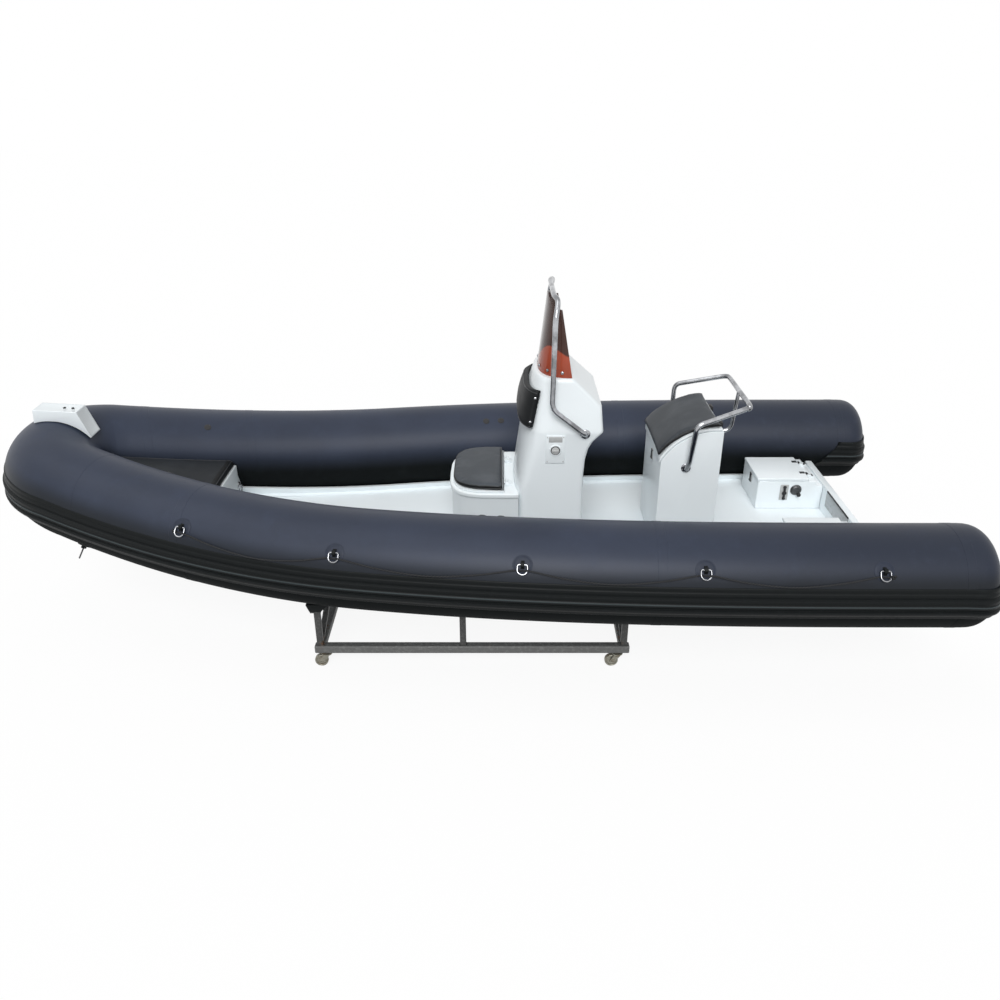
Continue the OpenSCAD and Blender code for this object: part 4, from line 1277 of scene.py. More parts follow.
def make_front_cushion():
    """D shaped front seat cushion, crowned, with a welt round its top and foot."""
    base = SEAT_Z + PAD_FOOT
    high = 0.026
    back = SEAT_BACK + 0.006
    rows = []
    for inset, z in ((0.010, 0.0), (0.005, 0.001), (0.003, 0.005), (0.003, high - 0.006),
                     (0.006, high - 0.001)):
        rows.append([Vector((x, y, base + z)) for x, y in seat_outline(-inset, back + inset)])
    centre = Vector((at_mid(-0.06), 0, 0))
    for share in (0.94, 0.85, 0.7, 0.5, 0.3, 0.1):
        z = base + high + 0.006 * (1 - share**2)
        rows.append([Vector((lerp(centre.x, x, share), y * share, z))
                     for x, y in seat_outline(-0.006, back + 0.006)])

    def rest(p):
        p.z = max(p.z, base)
        p.x = max(p.x, at_mid(SEAT_BACK + 0.004))
        return p

    edge = seat_outline(-0.001, back, 0.02, 3)
    seams = [([(x, y, z) for x, y in edge], True) for z in (base + high + 0.003, base + 0.007)]
    cushion("front_seat_pad", rows, rest, seams, "front_seat_lid", "front_seat_cushion", "front_vinyl")


HELM_R = 0.32
HELM_CX = -1.29
HELM_CZ = DECK_Z + 0.703 - HELM_R
HELM_HALF = 0.25


def helm_pt(turn, radius, y):
    """Point of the helm seat's arch."""
    return Vector((at_mid(HELM_CX) + radius * cos(turn), y, HELM_CZ + radius * sin(turn)))


def make_helm_cushion():
    """Arched helm seat cushion that wraps over the box."""
    low = HELM_R + PAD_FOOT
    rows = []
    first = radians(31.2)
    last = radians(93.2)
    steps = 44
    half = HELM_HALF - 0.010
    for k in range(steps + 1):
        turn = lerp(first, last, k / steps)
        end = end_share(k, steps, 3, 0.55)
        row = []
        for a in angles(48):
            y = half * power(cos(a), 0.16) * (0.985 + 0.015 * end)
            crown = 0.004 * (1 - (y / half) ** 2)
            height = 0.0105 + 0.0105 * power(sin(a), 0.4)
            row.append(helm_pt(turn, low + (height + (crown if sin(a) > 0 else 0)) * end, y))
        rows.append(row)

    def rest(p):
        arm = Vector((p.x - at_mid(HELM_CX), 0, p.z - HELM_CZ))
        if arm.length < low:
            arm *= low / arm.length
            p.x = at_mid(HELM_CX) + arm.x
            p.z = HELM_CZ + arm.z
        p.x = max(p.x, at_mid(-1.3145))
        return p

    seams = [([helm_pt(lerp(first, last, k / 50), low + 0.0235, s * (half - 0.004)) for k in range(51)],
              False) for s in SIDES]
    cushion("helm_seat_pad", rows, rest, seams, "helm_seat_lid", "helm_seat_cushion", "helm_vinyl")


BACKREST_LEVELS = ((727, -282, -694, 2, 151), (842, -297, -682, 32, 169), (922, -322.5, -682, 49, 157))


def backrest_pt(turn, share, grow):
    """Point of the backrest band at a share of its height."""
    level = between(BACKREST_LEVELS, lerp(BACKREST_LEVELS[0][0], BACKREST_LEVELS[-1][0], share))
    z, front, _, narrow, depth = (v / 1000 for v in level)
    x, y = front_pt(turn, front + grow, depth + grow, CONSOLE_HALF - narrow + grow, CONSOLE_POWER)
    return Vector((x, y, DECK_Z + z))


def make_backrest():
    """Black backrest wrapped round the front of the console, with press studs at its ends."""
    rows = []
    steps = 60
    thick = 0.031
    for k in range(steps + 1):
        turn = radians(lerp(-59, 59, k / steps))
        end = end_share(k, steps, 4, 0.35)
        row = []
        for a in angles(40):
            grow = 0.0008 + thick * end * (0.5 + 0.5 * power(cos(a), 0.45))
            row.append(backrest_pt(turn, 0.5 + 0.49 * power(sin(a), 0.4), grow))
        rows.append(row)
    seams = [([backrest_pt(radians(lerp(-57, 57, k / 70)), share, 0.033) for k in range(71)], False)
             for share in (0.93, 0.06)]
    pad = cushion("backrest_pad", rows, lambda p: p, seams, "boat", "backrest_cushion", "dark_vinyl",
                  cap=0.0045)
    studs = []
    for s in SIDES:
        for share in (0.2, 0.8):
            spot = backrest_pt(radians(s * 56.5), share, 0.036)
            _, at, out, _ = pad.closest_point_on_mesh(spot)
            stud = turned("stud", ((0, 3.6), (4.2, 3), (7.2, 1.2), (7.8, -2), (0, -2)), 20)
            studs.append(moved(stud, standing(at, out)))
    finish(joined("backrest_studs", studs), "stainless", "stainless")


def make_bow_cushion():
    """Three sided bow cushion between the tubes, with a dark band across its aft edge."""
    rows = []
    steps = 40
    for k in range(steps + 1):
        x = lerp(BOW_FACE_X + 0.003, BOW_END_X - 0.004, k / steps)
        half, z = inner_cut(x, BOW_SIDE * TUBE_R + 0.004)
        half = max(half, 0.014)
        end = end_share(k, steps, 2, 0.6)
        low = z + BOW_PAD[0] * TUBE_R
        high = z + BOW_PAD[1] * TUBE_R - 0.006
        row = []
        for a in angles(48):
            y = half * power(cos(a), 0.18)
            crown = 0.007 * (1 - (y / half) ** 2)
            up = 0.5 + 0.5 * power(sin(a), 0.3)
            row.append(Vector((x, y, low + (high - low + crown) * up * end)))
        rows.append(row)

    def rest(p):
        p.x = min(max(p.x, BOW_FACE_X + 0.0005), BOW_END_X)
        half, z = inner_cut(p.x, BOW_SIDE * TUBE_R)
        p.y = max(-half, min(half, p.y))
        p.z = max(p.z, z + BOW_PAD[0] * TUBE_R)
        return p

    edge = []
    for s in SIDES:
        run = []
        for k in range(41):
            x = lerp(BOW_FACE_X + 0.006, BOW_END_X - 0.012, k / 40)
            half, z = inner_cut(x, BOW_SIDE * TUBE_R + 0.01)
            run.append(Vector((x, s * max(half, 0.008), z + BOW_PAD[1] * TUBE_R)))
        edge.append(run)
    aft = [edge[1][0].lerp(edge[0][0], k / 24) for k in range(1, 24)]
    seams = [(edge[0] + edge[1][::-1] + aft, True)]
    cushion("bow_pad", rows, rest, seams, "boat", "bow_cushion", "bow_vinyl", voxel=0.0065)


# Seat boxes, lockers and their hardware

# Where a tongue starts inside its knuckle
ROLL_IN = 0.0055


def knuckles(spots, axis_x, axis_z, reach, low):
    """Lid knuckles on the hinge axis with the tongues that carry them."""
    parts = []
    for y in spots:
        roll = turned("roll", ((4.15, -13), (6.4, -13), (7, -12.4), (7, 12.4), (6.4, 13), (4.15, 13),
                               (4.15, -13)), 28)
        parts.append(moved(roll, on_wall((axis_x, y, axis_z))))
        long = reach - ROLL_IN
        spot = (axis_x + ROLL_IN + long / 2, y, axis_z + low + 0.004)
        parts.append(block("tongue", (long, 0.024, 0.006), spot, 0.001))
    return parts


def make_seats():
    """Seat boxes and their lids."""
    eased("front_seat_base", "gelcoat", "gelcoat", 0.005, 3)
    eased("helm_seat_base", "gelcoat", "gelcoat", 0.006, 3)
    lid = slab("lid", seat_outline(-0.004, SEAT_BACK - 0.002, 0.006), SEAT_Z + 0.002, SEAT_Z + 0.014, 0.0028)
    parts = [lid] + knuckles((0.15, -0.15), at_mid(SEAT_BACK - 0.013), SEAT_Z + 0.012, 0.015, -0.007)
    lid = joined("front_seat_lid_shell", parts)
    finish(lid, "gelcoat", "gelcoat", "front_seat_lid", body="front_seat_lid")
    rows = []
    wide = HELM_HALF - 0.002
    for k in range(37):
        rows.append([helm_pt(lerp(acos(0.29 / (HELM_R + up)), radians(94.4), k / 36), HELM_R + up, y)
                     for y, up in ((-wide, 0.002), (wide, 0.002), (wide, 0.014), (-wide, 0.014))])
    arch = rounded(loft("helm_seat_lid_shell", rows, smooth=0), 0.0028, 3, 40)
    finish(arch, "gelcoat", "gelcoat", "helm_seat_lid", body="helm_seat_lid")
    parts = knuckles((0.12, -0.12), at_mid(-1.322) - 0.012, DECK_Z + 0.705, 0.022, 0.0)
    finish(joined("helm_seat_knuckles", parts), "black_plastic", "black_plastic", body="helm_seat_lid")


LOCKER_BACK = TRANSOM_X + 0.04
LID_BACK = LOCKER_BACK + 0.05
LOCKER_FRONT = LOCKER_BACK + 0.35
LOCKER_OUT = STERN_HALF - TUBE_R - 0.029
LOCKER_IN = LOCKER_OUT - 0.325
LOCKER_Z = DECK_Z + 0.182


def make_lockers():
    """Stern lockers with their lids and the fittings on the starboard one."""
    for s, side in HANDS:
        eased("stern_locker_" + side, "gelcoat", "gelcoat", 0.007, 3)
        y0, y1 = sorted((s * (LOCKER_IN - 0.004), s * (LOCKER_OUT - 0.012)))
        outline = ((LID_BACK, y0), (LOCKER_FRONT + 0.006, y0), (LOCKER_FRONT + 0.006, y1), (LID_BACK, y1))
        body = "stern_lid_" + side
        lid = slab(body + "_shell", outline, LOCKER_Z + 0.002, LOCKER_Z + 0.02, 0.005, 4)
        finish(lid, "gelcoat", "gelcoat", body, body=body)
        spots = [s * (LOCKER_IN + 0.08), s * (LOCKER_IN + 0.24)]
        parts = knuckles(spots, LID_BACK - 0.011, LOCKER_Z + 0.012, 0.015, -0.007)
        parts += [block("leaf", (0.03, 0.026, 0.0026), (LID_BACK + 0.02, y, LOCKER_Z + 0.0208), 0.0008)
                  for y in spots]
        finish(joined(body + "_knuckles", parts), "black_plastic", "black_plastic", body=body)
    wall = -LOCKER_IN + 0.0005
    face = on_wall((LOCKER_BACK + 0.19, wall, DECK_Z + 0.11))
    plate = block("locker_tee_plate", (0.05, 0.1, 0.004), (0, 0, 0.002), 0.0016, 3)
    finish(moved(plate, face), "stainless", "pale_plastic")
    ring = flat_ring("collar", circle(0.03, 48), 0.004)
    cap_face = on_wall((LOCKER_BACK + 0.12, wall, DECK_Z + 0.125))
    cap = turned("cap", ((0, 14.5), (12, 14.5), (24, 12.5), (28, 9), (31, 4), (31, 0), (0, 0)), 44)
    finish(joined("locker_cap", [moved(cap, cap_face), moved(ring, cap_face)]), "stainless",
           "dark_steel", "locker_fittings")
    tee = [bar("tee", [(0, -0.039, 0.011), (0, 0.039, 0.011)], 0.007, 16)]
    for y, wide in ((-0.037, 0.0105), (0.002, 0.014), (0.037, 0.0105)):
        knob = lathe("knob", ((0, 0.0075), (0.6 * wide, 0.0065), (wide, 0.001), (0.8 * wide, -0.006),
                              (0, -0.0085)), 24)
        tee.append(moved(knob, Matrix.Translation((0, y, 0.0105))))
    key = turned("key", ((0, 12), (8, 10.5), (12.5, 4), (12.5, -4), (8, -9), (0, -9)), 24)
    key = moved(key, cap_face @ Matrix.Translation((-0.016, 0.025, 0.0155)))
    finish(joined("locker_tee_and_key", [moved(part, face) for part in tee] + [key]), "black_plastic",
           "black_plastic")


LATCHES = (
    (at_mid(-1.008) + 0.0005, 0.0, DECK_Z + 0.44), (LOCKER_FRONT + 0.0005, LOCKER_IN + 0.15, DECK_Z + 0.11),
    (LOCKER_FRONT + 0.0005, -LOCKER_IN - 0.15, DECK_Z + 0.11), (at_mid(0.104) + 0.0005, 0.0, SEAT_Z - 0.09))


def make_latches():
    """Rubber pull latches and the hinge leaves."""
    base = block("base", (0.003, 0.036, 0.06), (0.0015, 0, 0.03), 0.0012, 2)
    strap = bent([(0.0042, 0, 0.008), (0.0072, 0, 0.016), (0.0072, 0, 0.046), (0.0042, 0, 0.057)], 0.006, 5)
    rows = []
    for k, p in enumerate(strap):
        w = 0.012 - 0.004 * sin(pi * k / (len(strap) - 1))
        rows.append([p + Vector((dx, dy, 0)) for dx, dy in
                     ((-0.0016, -w), (0.0016, -w + 0.0012), (0.0016, w - 0.0012), (-0.0016, w))])
    pull = loft("pull", rows, smooth=35)
    grip = bar("grip", [(0.0065, -0.015, 0.01), (0.0065, -0.008, 0.0085), (0.0065, 0.008, 0.0085),
                        (0.0065, 0.015, 0.01)], 0.0033, 14)
    keeper = block("keeper", (0.006, 0.028, 0.008), (0.0045, 0, 0.055), 0.0018, 3)
    latch = joined("latch", [pull, grip, keeper])
    places = [Matrix.Translation(spot) for spot in LATCHES]
    finish(copies("pull_latches", latch, places), "black_plastic", "black_plastic", "latches")
    finish(copies("latch_plates", base, places), "black_plastic", "pale_plastic")
    eased("hinges", "black_plastic", "hinge_plastic", 0.0012)


# Fittings on the tubes

VALVES = (0.892, 0.518, 0.497)
VALVE_ANGLE = 125
RING_SHARES = (0.831, 0.663, 0.468, 0.283, 0.102)
RING_ANGLE = 35
RING_LIFT = 0.0148
TOW_SPOT = (0.975, -55)
TOW_SWING = radians(35.4)


def bent_flat(points, reach):
    """Flat route in two coordinates with rounded corners."""
    return [(p.x, p.y) for p in bent([(a, b, 0) for a, b in points], reach, 4)]


def patch(name, radius, profile, sides=48):
    """Round patch that follows the tube; the profile is share of its radius and height on the skin."""
    rows = []
    for share, up in profile:
        row = []
        for a in angles(sides):
            x = radius * share * cos(a)
            turn = radius * share * sin(a) / TUBE_R
            row.append(Vector((x, (TUBE_R + up) * sin(turn), (TUBE_R + up) * cos(turn) - TUBE_R)))
        rows.append(row)
    return loft(name, rows, smooth=30)


def make_tube_fittings():
    """Valves, lifeline patches with their rings, and towing rings."""
    valve = turned("valve", ((0, 6.2), (10.5, 6.2), (11.2, 7), (14.2, 7), (15, 5.8), (15.2, 3.6),
                             (17.8, 3.4), (19.4, 2.4), (20, 0.8), (20, -1), (0, -1)), 40)
    bridge = block("bridge", (0.019, 0.005, 0.0022), (0, 0, 0.0066), 0.0008)
    valve = moved(joined("valve", [valve, bridge]), Matrix.Diagonal((1, 1, 0.5, 1)))
    spots = [on_tube(share, VALVE_ANGLE, s) for share in VALVES for s in SIDES]
    finish(copies("valve_caps", valve, spots), "black_plastic", "black_plastic", "valves")

    disc = patch("disc", 0.048, ((0.001, 0.0026), (0.5, 0.0026), (0.74, 0.0026), (0.8, 0.0022),
                                 (0.84, 0.0012), (0.9, 0.0012), (0.97, 0.001), (1.0, -0.0008),
                                 (0.001, -0.0008)))
    strap = bent_flat(((0.019, 0.0022), (0.0105, 0.0045), (0.0105, 0.0215), (-0.0105, 0.0215),
                       (-0.0105, 0.0045), (-0.019, 0.0018)), 0.006)
    rows = [[Vector((x, y, z)) for x in (-0.0085, -0.0075, 0.0075, 0.0085)] for y, z in strap]
    band = loft("band", rows, closed=False, caps=False, smooth=50)
    apply(band, "SOLIDIFY", thickness=0.0022, offset=0)
    spots = [on_tube(share, RING_ANGLE, s) for share in RING_SHARES for s in SIDES]
    finish(copies("ring_patches", disc, spots), "strake_rubber", "patch_cloth", "d_ring_patches")
    finish(copies("ring_straps", band, spots), "strake_rubber", "black_rubber")

    arc = [(0.0235 * cos(a), -0.0225 + 0.0235 * sin(a)) for a in (pi + pi * k / 22 for k in range(23))]
    outline = arc + [(0.0232, -0.012), (0.0222, -0.004), (0.0185, 0.0), (0.009, 0.0), (0, 0.0), (-0.009, 0.0),
                     (-0.0185, 0.0), (-0.0222, -0.004), (-0.0232, -0.012)]
    spots = [on_tube(share, RING_ANGLE, s, RING_LIFT) for share in RING_SHARES for s in SIDES]
    ring = flat_ring("ring", outline, 0.0034)
    finish(copies("lifeline_rings", ring, spots), "stainless", "stainless", "d_rings")

    disc = patch("disc", 0.035, ((0.001, 0.0064), (0.6, 0.0062), (0.84, 0.0054), (0.95, 0.003),
                                 (1.0, -0.0008), (0.001, -0.0008)))
    lug = block("lug", (0.016, 0.028, 0.0145), (0, 0, 0.0122), 0.004, 3)
    hung = moved(flat_ring("ring", circle(0.03, 52), 0.004),
                 placed((0, 0, 0.042), (0, 1, 0), (0, 0, 1), (1, 0, 0)))
    spots = [on_tube(*TOW_SPOT, s) for s in SIDES]
    pads = copies("tow_ring_pads", joined("tow", [disc, lug]), spots)
    finish(pads, "strake_rubber", "black_rubber", "tow_rings")
    hoops = copies("tow_ring_hoops", hung, [spot @ Matrix.Rotation(TOW_SWING, 4, "Z") for spot in spots])
    finish(hoops, "stainless", "dark_steel")


# Millimetres ahead of the ring and lift off the tube, where the line passes each ring
PASS = ((34, 7.5), (18, 7.5), (-18, 24), (-34, 24))
PASS_ANGLE = 29
# Share of the span to the next ring, angle on the tube and lift off it
SAG = ((0.25, 22, 8), (0.5, 18, 6), (0.75, 22, 6))
KNOT_R = 0.0062
KNOT_TURNS = 2.5


def line_points(s):
    """Route of a lifeline, as in the part's source."""
    spots = []
    for i, share in enumerate(RING_SHARES):
        spots += [(along(share) + ahead / 1000, PASS_ANGLE, lift) for ahead, lift in PASS]
        if i + 1 < len(RING_SHARES):
            spots += [(along(lerp(share, RING_SHARES[i + 1], part)), angle, lift)
                      for part, angle, lift in SAG]
    points = []
    for x, angle, lift in spots:
        a = radians(angle)
        reach = TUBE_R + lift / 1000
        points.append(off(side_pt(share_at(x)), -reach * cos(a), reach * sin(a), s))
    return points


def make_lifelines():
    """Two lifelines, each threaded through five rings and knotted at both ends."""
    diameter = bpy.context.scene.boat_sizes.rope
    for s, side in HANDS:
        path = flowing(line_points(s), 8)
        line = loft("lifeline_" + side + "_rope", bar_rows(path, diameter / 2, 12), smooth=60)
        length = sum((b - a).length for a, b in zip(path, path[1:]))
        knots = []
        for end, beside in ((path[0], path[1]), (path[-1], path[-2])):
            ahead = (end - beside).normalized()
            across = ahead.orthogonal().normalized()
            place = placed(end - 0.004 * ahead, across, ahead.cross(across), ahead)
            turns = []
            for k in range(41):
                a = 2 * pi * KNOT_TURNS * k / 40
                turns.append(place @ Vector((KNOT_R * cos(a), KNOT_R * sin(a), lerp(-0.009, 0.009, k / 40))))
            knots.append(bar("knot", turns, 0.0036, 10))
        knot = joined("lifeline_" + side + "_knots", knots)
        finish(knot, "rope", "rope")
        finish(line, "rope", "rope", "lifeline_" + side)
        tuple(path[0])


# Cradle and casters

CRADLE_FRONT = at_mid(0.775)
CRADLE_REAR = at_mid(-0.808)
CRADLE_HALF = 0.7
BAR = 0.044
BAR_Z = 0.088
POST = 0.032
PAD_W = 0.09
FRONT_PAD = (0.118, 0.056, 0.044)
REAR_PAD = (0.052, 0.044, 0.02)
# Station, distance from the centreline and underside of each pad; its length on top, at the foot, and height
PADS = ((CRADLE_FRONT, 0.7, 0.35945, FRONT_PAD), (CRADLE_FRONT, 0.42, 0.2603, FRONT_PAD),
        (at_mid(0.03), 0.7, 0.35653, (0.044, 0.04, 0.02)),
        (CRADLE_REAR, 0.7, 0.33666, REAR_PAD), (CRADLE_REAR, 0.42, 0.24297, REAR_PAD))


def weld_route(half):
    """Weld bead round the foot of a post, nearly closed."""
    r = half + 0.0012
    return [(r * power(cos(a), 0.35), r * power(sin(a), 0.35)) for a in
            (2 * pi * (k + 0.5) / 40 for k in range(40))]


def make_cradle():
    """Welded square tube cradle with its rubber pads."""
    parts = []
    middle = BAR_Z + BAR / 2
    for s in SIDES:
        parts.append(block("bar", (CRADLE_FRONT - CRADLE_REAR + 0.06, BAR, BAR),
                           ((CRADLE_FRONT + CRADLE_REAR) / 2, s * CRADLE_HALF, middle), 0.006, 3))
        for x, y, z, (_, foot_long, _) in PADS:
            parts.append(block("head", (foot_long, PAD_W - 0.012, 0.009), (x, s * y, z - 0.0045), 0.0018, 2))
            if y == CRADLE_HALF:
                foot = BAR_Z + BAR - 0.001
                parts.append(block("post", (POST, POST, z - 0.002 - foot), (x, s * y, (z - 0.002 + foot) / 2),
                                   0.005, 3))
                bead = [(x + dx, s * y + dy, foot + 0.001) for dx, dy in weld_route(POST / 2)]
                parts.append(bar("weld", bead, 0.0035, 8))
            else:
                low = Vector((x, s * CRADLE_HALF, BAR_Z + BAR - 0.006))
                high = Vector((x, s * y, z - POST / 2))
                run = high - low
                thick = POST - 0.004
                strut = block("strut", (thick, thick, run.length), (0, 0, run.length / 2), 0.005, 3)
                up = run.normalized()
                parts.append(moved(strut, placed(low, (1, 0, 0), up.cross(Vector((1, 0, 0))), up)))
    for x in (CRADLE_FRONT, CRADLE_REAR):
        parts.append(block("cross", (BAR, 2 * CRADLE_HALF - BAR, BAR - 0.002), (x, 0, middle), 0.006, 3))
    finish(joined("cradle_tubes", parts), "cradle_steel", "cradle_paint", "cradle_frame")
    pads = []
    for s in SIDES:
        for x, y, z, (top_long, foot_long, high) in PADS:
            rows = []
            aft = 0.013 if top_long > 0.1 else 0.0
            for long, up, back in ((foot_long / 2, 0.0003, 0.0), (top_long / 2, high, aft)):
                rows.append([Vector((x - back + dx, s * y + dy * PAD_W / 2, z + up)) for dx, dy in
                             ((-long, -1), (long, -1), (long, 1), (-long, 1))])
            pads.append(rounded(loft("pad", rows, smooth=0), 0.004, 3))
    finish(joined("cradle_rubbers", pads), "strake_rubber", "black_rubber", "cradle_pads")


def make_casters():
    """Swivel forks and their wheels."""
    tyre = turned("wheel", ((5.15, -13), (8.5, -13), (9.5, -11.5), (19, -9), (24.5, -9), (26.2, -11.8),
                            (27.5, -12.8), (31.8, -12.4), (34, -10.5), (35, -7), (35, 7), (34, 10.5),
                            (31.8, 12.4), (27.5, 12.8), (26.2, 11.8), (24.5, 9), (19, 9), (9.5, 11.5),
                            (8.5, 13), (5.15, 13), (5.15, -13)), 56)
    for end, x in (("front", CRADLE_FRONT - 0.028), ("rear", CRADLE_REAR + 0.03)):
        for s, side in HANDS:
            fork = "caster_fork_" + end + "_" + side
            eased(fork, "cradle_steel", "zinc", 0.0009, body=fork)
            wheel = "caster_wheel_" + end + "_" + side
            place = placed((x + 0.03, s * CRADLE_HALF, 0.035), (1, 0, 0), (0, 0, 1), (0, -1, 0))
            finish(twin(tyre, wheel + "_tyre", place), "cradle_steel", "zinc", wheel, body=wheel)
    bpy.data.objects.remove(tyre)


# Stage

# Light of the sky, and name, strength, width in degrees and place of each broad lamp
SKY = 0.42
LAMPS = (("soft_front", 2.05, 30, (0.25, 3.5, 3.0)), ("soft_top", 0.5, 40, (1.1, 0.3, 3.0)))
FLOOR_GLOW = 0.9
FLOOR_BOUNCE = 0.4
# Place, tilt and angle of view of the photo's camera, in metres and degrees
EYE = (-0.1745, 4.421, 2.845)
EYE_TILT = 63.32
EYE_ANGLE = 59.82


def floor_paint(colours):
    """Plain pale floor, white where it is lit, that keeps the shadow."""
    p = Paint("floor", specular_ior_level=0.0)
    base = colours.floor
    seen = sum(p.node("ShaderNodeLightPath", out=kind) for kind in
               ("Is Camera Ray", "Is Glossy Ray", "Is Transmission Ray"))
    pale = p.mix(p.noise(0.8, 3), shaded(base, 0.99), base)
    p.set("Base Color", p.mix(seen, shaded(base, FLOOR_BOUNCE), pale))
    p.set("Roughness", 0.8)
    glow = p.node("ShaderNodeEmission", None, {"Color": (1, 1, 1), "Strength": 1.0})
    return p.over(FLOOR_GLOW * seen, glow)


def make_stage():
    """Pale floor, soft lights and the camera."""
    scene = bpy.context.scene
    scene.view_settings.view_transform = "Standard"
    deselect()
    bpy.ops.mesh.primitive_plane_add(size=60, location=(0, 0, -0.0005))
    floor = bpy.context.object
    floor.name = "floor"
    floor.data.materials.append(floor_paint(scene.boat_colours))
    bpy.ops.object.transform_apply(location=True)

    world = bpy.data.worlds.new("studio")
    scene.world = world
    world.use_nodes = True
    tree = world.node_tree
    tree.nodes.clear()
    mixed = tree.nodes.new("ShaderNodeMixShader")
    tree.links.new(mixed.outputs[0], tree.nodes.new("ShaderNodeOutputWorld").inputs[0])
    path = tree.nodes.new("ShaderNodeLightPath")
    seen = path.outputs["Is Camera Ray"]
    for kind in ("Is Glossy Ray", "Is Transmission Ray"):
        either = tree.nodes.new("ShaderNodeMath")
        either.operation = "MAXIMUM"
        tree.links.new(seen, either.inputs[0])
        tree.links.new(path.outputs[kind], either.inputs[1])
        seen = either.outputs[0]
    tree.links.new(seen, mixed.inputs[0])
    for i, strength in ((1, SKY), (2, 1.0)):
        sky = tree.nodes.new("ShaderNodeBackground")
        sky.inputs["Color"].default_value = (1, 1, 1, 1)
        sky.inputs["Strength"].default_value = strength
        tree.links.new(sky.outputs[0], mixed.inputs[i])

    for name, energy, width, spot in LAMPS:
        deselect()
        bpy.ops.object.light_add(type="SUN", location=spot)
        lamp = bpy.context.object
        lamp.name = name
        lamp.data.energy = energy
        lamp.data.angle = radians(width)
        lamp.rotation_euler = (-Vector(spot)).to_track_quat("-Z", "Y").to_euler()

    camera = bpy.data.cameras.new("photo_view")
    camera.sensor_fit = "HORIZONTAL"
    camera.angle = radians(EYE_ANGLE)
    eye = bpy.data.objects.new("photo_view", camera)
    eye.location = EYE
    eye.rotation_euler = (radians(EYE_TILT), 0, pi)
    scene.collection.objects.link(eye)
    scene.camera = eye


# Add-on


def measure(name, description, default, low, high):
    """Length property."""
    return bpy.props.FloatProperty(name=name, description=description, default=default, min=low, max=high,
                                   unit="LENGTH")


def colour(name, description, default):
    """Colour property."""
    return bpy.props.FloatVectorProperty(name=name, description=description, default=default, subtype="COLOR",
                                         size=3, min=0, max=1)


class BoatSizes(bpy.types.PropertyGroup):
    """Sizes of the dressed pieces."""

    rail: measure("Rail diameter", "Outer diameter of the stainless rails", 0.026, 0.02, 0.032)
    rope: measure("Lifeline diameter", "Diameter of the lifelines", 0.008, 0.006, 0.012)
    welt: measure("Welt diameter", "Diameter of the piping on the cushions", 0.0052, 0.003, 0.009)
    seam_width: measure("Seam width", "Width of the welded bands round the tubes", 0.045, 0.02, 0.08)
    seam_height: measure("Seam height", "Height of the welded bands on the tubes", 0.0009, 0.0004, 0.002)


class BoatColours(bpy.types.PropertyGroup):
    """Colours of the finishes."""

    gelcoat: colour("Gelcoat", "White of hull, deck and boxes", (0.83, 0.885, 0.91))
    tube: colour("Tube cloth", "Blue grey of the tubes", (0.029, 0.037, 0.06))
    rubber: colour("Rubber", "Black of strake, patches and pads", (0.006, 0.0075, 0.008))
    vinyl: colour("Vinyl", "Grey of the cushions", (0.046, 0.054, 0.064))
    stainless: colour("Stainless", "Polished steel", (0.42, 0.43, 0.45))
    acrylic: colour("Acrylic", "Amber of the windshield", (0.46, 0.085, 0.04))
    cradle: colour("Cradle", "Grey paint of the cradle", (0.15, 0.152, 0.15))
    rope: colour("Rope", "Dark lifelines", (0.02, 0.021, 0.023))
    floor: colour("Floor", "Pale studio floor", (1.0, 1.0, 1.0))


def made_by(*makers):
    """Run the makers of a step in order."""
    for make in makers:
        make()
    return {"FINISHED"}


class BOAT_OT_stage(bpy.types.Operator):
    """Set the floor, the lights and the camera"""

    bl_idname = "boat.stage"
    bl_label = "Stage"

    def execute(self, context):
        return made_by(make_stage)


class BOAT_OT_lifelines(bpy.types.Operator):
    """Thread the lifelines through their rings"""

    bl_idname = "boat.lifelines"
    bl_label = "Lifelines"

    def execute(self, context):
        return made_by(make_lifelines)


class BOAT_OT_tubes(bpy.types.Operator):
    """Make the smooth tubes with their seams"""

    bl_idname = "boat.tubes"
    bl_label = "Tubes"

    def execute(self, context):
        return made_by(make_tubes)


class BOAT_OT_strake(bpy.types.Operator):
    """Run the ribbed strake round the tubes and set the nose piece"""

    bl_idname = "boat.strake"
    bl_label = "Strake and nose"

    def execute(self, context):
        return made_by(make_strake, make_nose)


class BOAT_OT_hull(bpy.types.Operator):
    """Make hull, deck, coamings, transom and engine plates"""

    bl_idname = "boat.hull"
    bl_label = "Hull and deck"

    def execute(self, context):
        return made_by(make_hull)


class BOAT_OT_bow(bpy.types.Operator):
    """Make the bow locker and its rings"""

    bl_idname = "boat.bow"
    bl_label = "Bow locker"

    def execute(self, context):
        return made_by(make_bow)


class BOAT_OT_console(bpy.types.Operator):
    """Make the console with its switch plate and windshield"""

    bl_idname = "boat.console"
    bl_label = "Console"

    def execute(self, context):
        return made_by(make_console, make_windshield)


class BOAT_OT_rails(bpy.types.Operator):
    """Bend the stainless rails"""

    bl_idname = "boat.rails"
    bl_label = "Rails"

    def execute(self, context):
        return made_by(make_rails)


class BOAT_OT_seats(bpy.types.Operator):
    """Make the seat boxes and their lids"""

    bl_idname = "boat.seats"
    bl_label = "Seats"

    def execute(self, context):
        return made_by(make_seats)


class BOAT_OT_cushions(bpy.types.Operator):
    """Puff and pipe the cushions"""

    bl_idname = "boat.cushions"
    bl_label = "Cushions"

    def execute(self, context):
        return made_by(make_front_cushion, make_helm_cushion, make_backrest, make_bow_cushion)


class BOAT_OT_lockers(bpy.types.Operator):
    """Make the stern lockers, latches and hinges"""

    bl_idname = "boat.lockers"
    bl_label = "Lockers"

    def execute(self, context):
        return made_by(make_lockers, make_latches)


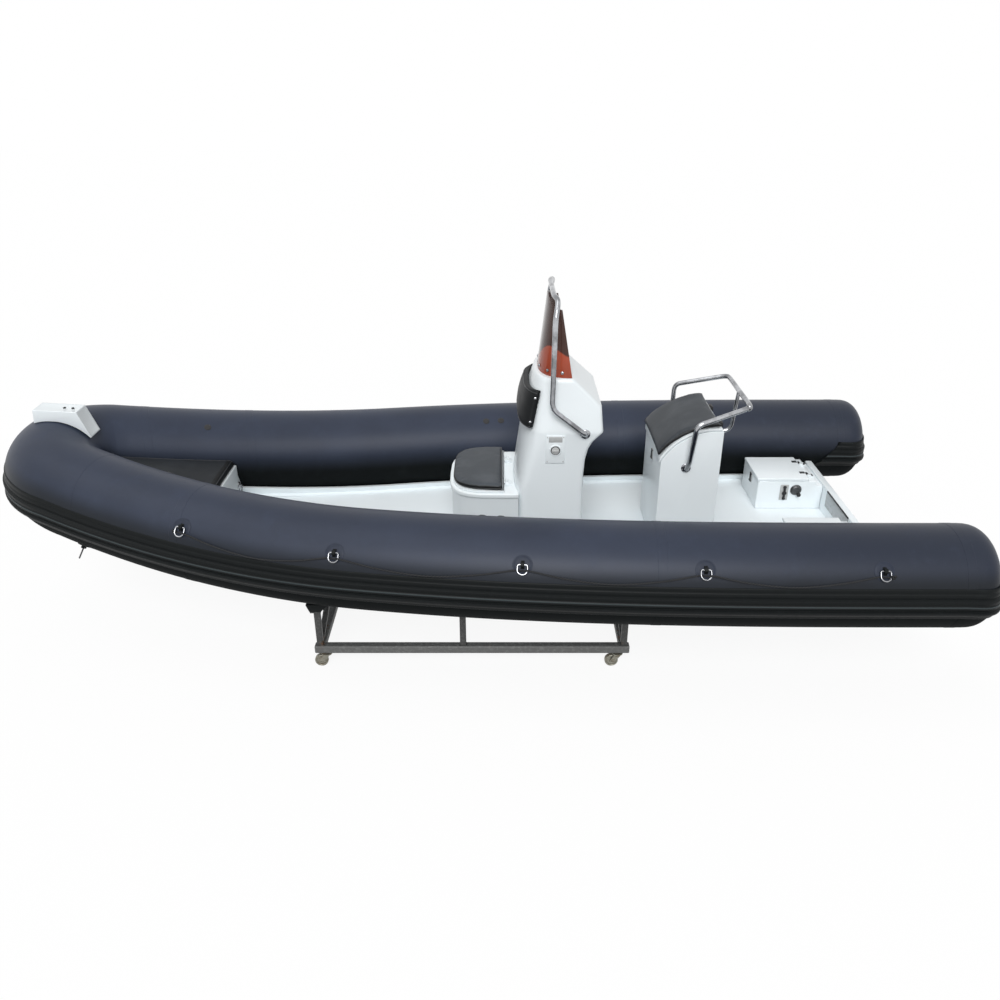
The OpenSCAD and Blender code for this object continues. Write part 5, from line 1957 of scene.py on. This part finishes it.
class BOAT_OT_tube_fittings(bpy.types.Operator):
    """Set valves, patches and rings on the tubes"""

    bl_idname = "boat.tube_fittings"
    bl_label = "Tube fittings"

    def execute(self, context):
        return made_by(make_tube_fittings)


class BOAT_OT_cradle(bpy.types.Operator):
    """Weld the cradle and lay its pads"""

    bl_idname = "boat.cradle"
    bl_label = "Cradle"

    def execute(self, context):
        return made_by(make_cradle)


class BOAT_OT_casters(bpy.types.Operator):
    """Make the swivel casters"""

    bl_idname = "boat.casters"
    bl_label = "Casters"

    def execute(self, context):
        return made_by(make_casters)


STEPS = (
    BOAT_OT_stage, BOAT_OT_lifelines, BOAT_OT_tubes, BOAT_OT_strake, BOAT_OT_hull, BOAT_OT_bow,
    BOAT_OT_console, BOAT_OT_rails, BOAT_OT_seats, BOAT_OT_cushions, BOAT_OT_lockers, BOAT_OT_tube_fittings,
    BOAT_OT_cradle, BOAT_OT_casters)


class BOAT_PT_dresser(bpy.types.Panel):
    """Sidebar panel with the colours, sizes and steps"""

    bl_idname = "BOAT_PT_dresser"
    bl_label = "Inflatable boat"
    bl_space_type = "VIEW_3D"
    bl_region_type = "UI"
    bl_category = "Boat"

    def draw(self, context):
        for group in (context.scene.boat_colours, context.scene.boat_sizes):
            for key in group.bl_rna.properties.keys():
                if key not in ("rna_type", "name"):
                    self.layout.prop(group, key)
        for made in STEPS:
            self.layout.operator(made.bl_idname)


CLASSES = (BoatSizes, BoatColours, *STEPS, BOAT_PT_dresser)


def register():
    """Register the classes and the scene's properties."""
    for made in CLASSES:
        bpy.utils.register_class(made)
    bpy.types.Scene.boat_sizes = bpy.props.PointerProperty(type=BoatSizes)
    bpy.types.Scene.boat_colours = bpy.props.PointerProperty(type=BoatColours)


def unregister():
    """Take the properties and the classes away."""
    del bpy.types.Scene.boat_colours
    del bpy.types.Scene.boat_sizes
    for made in reversed(CLASSES):
        bpy.utils.unregister_class(made)


def main():
    """Dress the boat in order."""
    register()
    for made in STEPS:
        getattr(bpy.ops.boat, made.bl_idname.split(".")[1])()


if __name__ == "__main__":
    main()
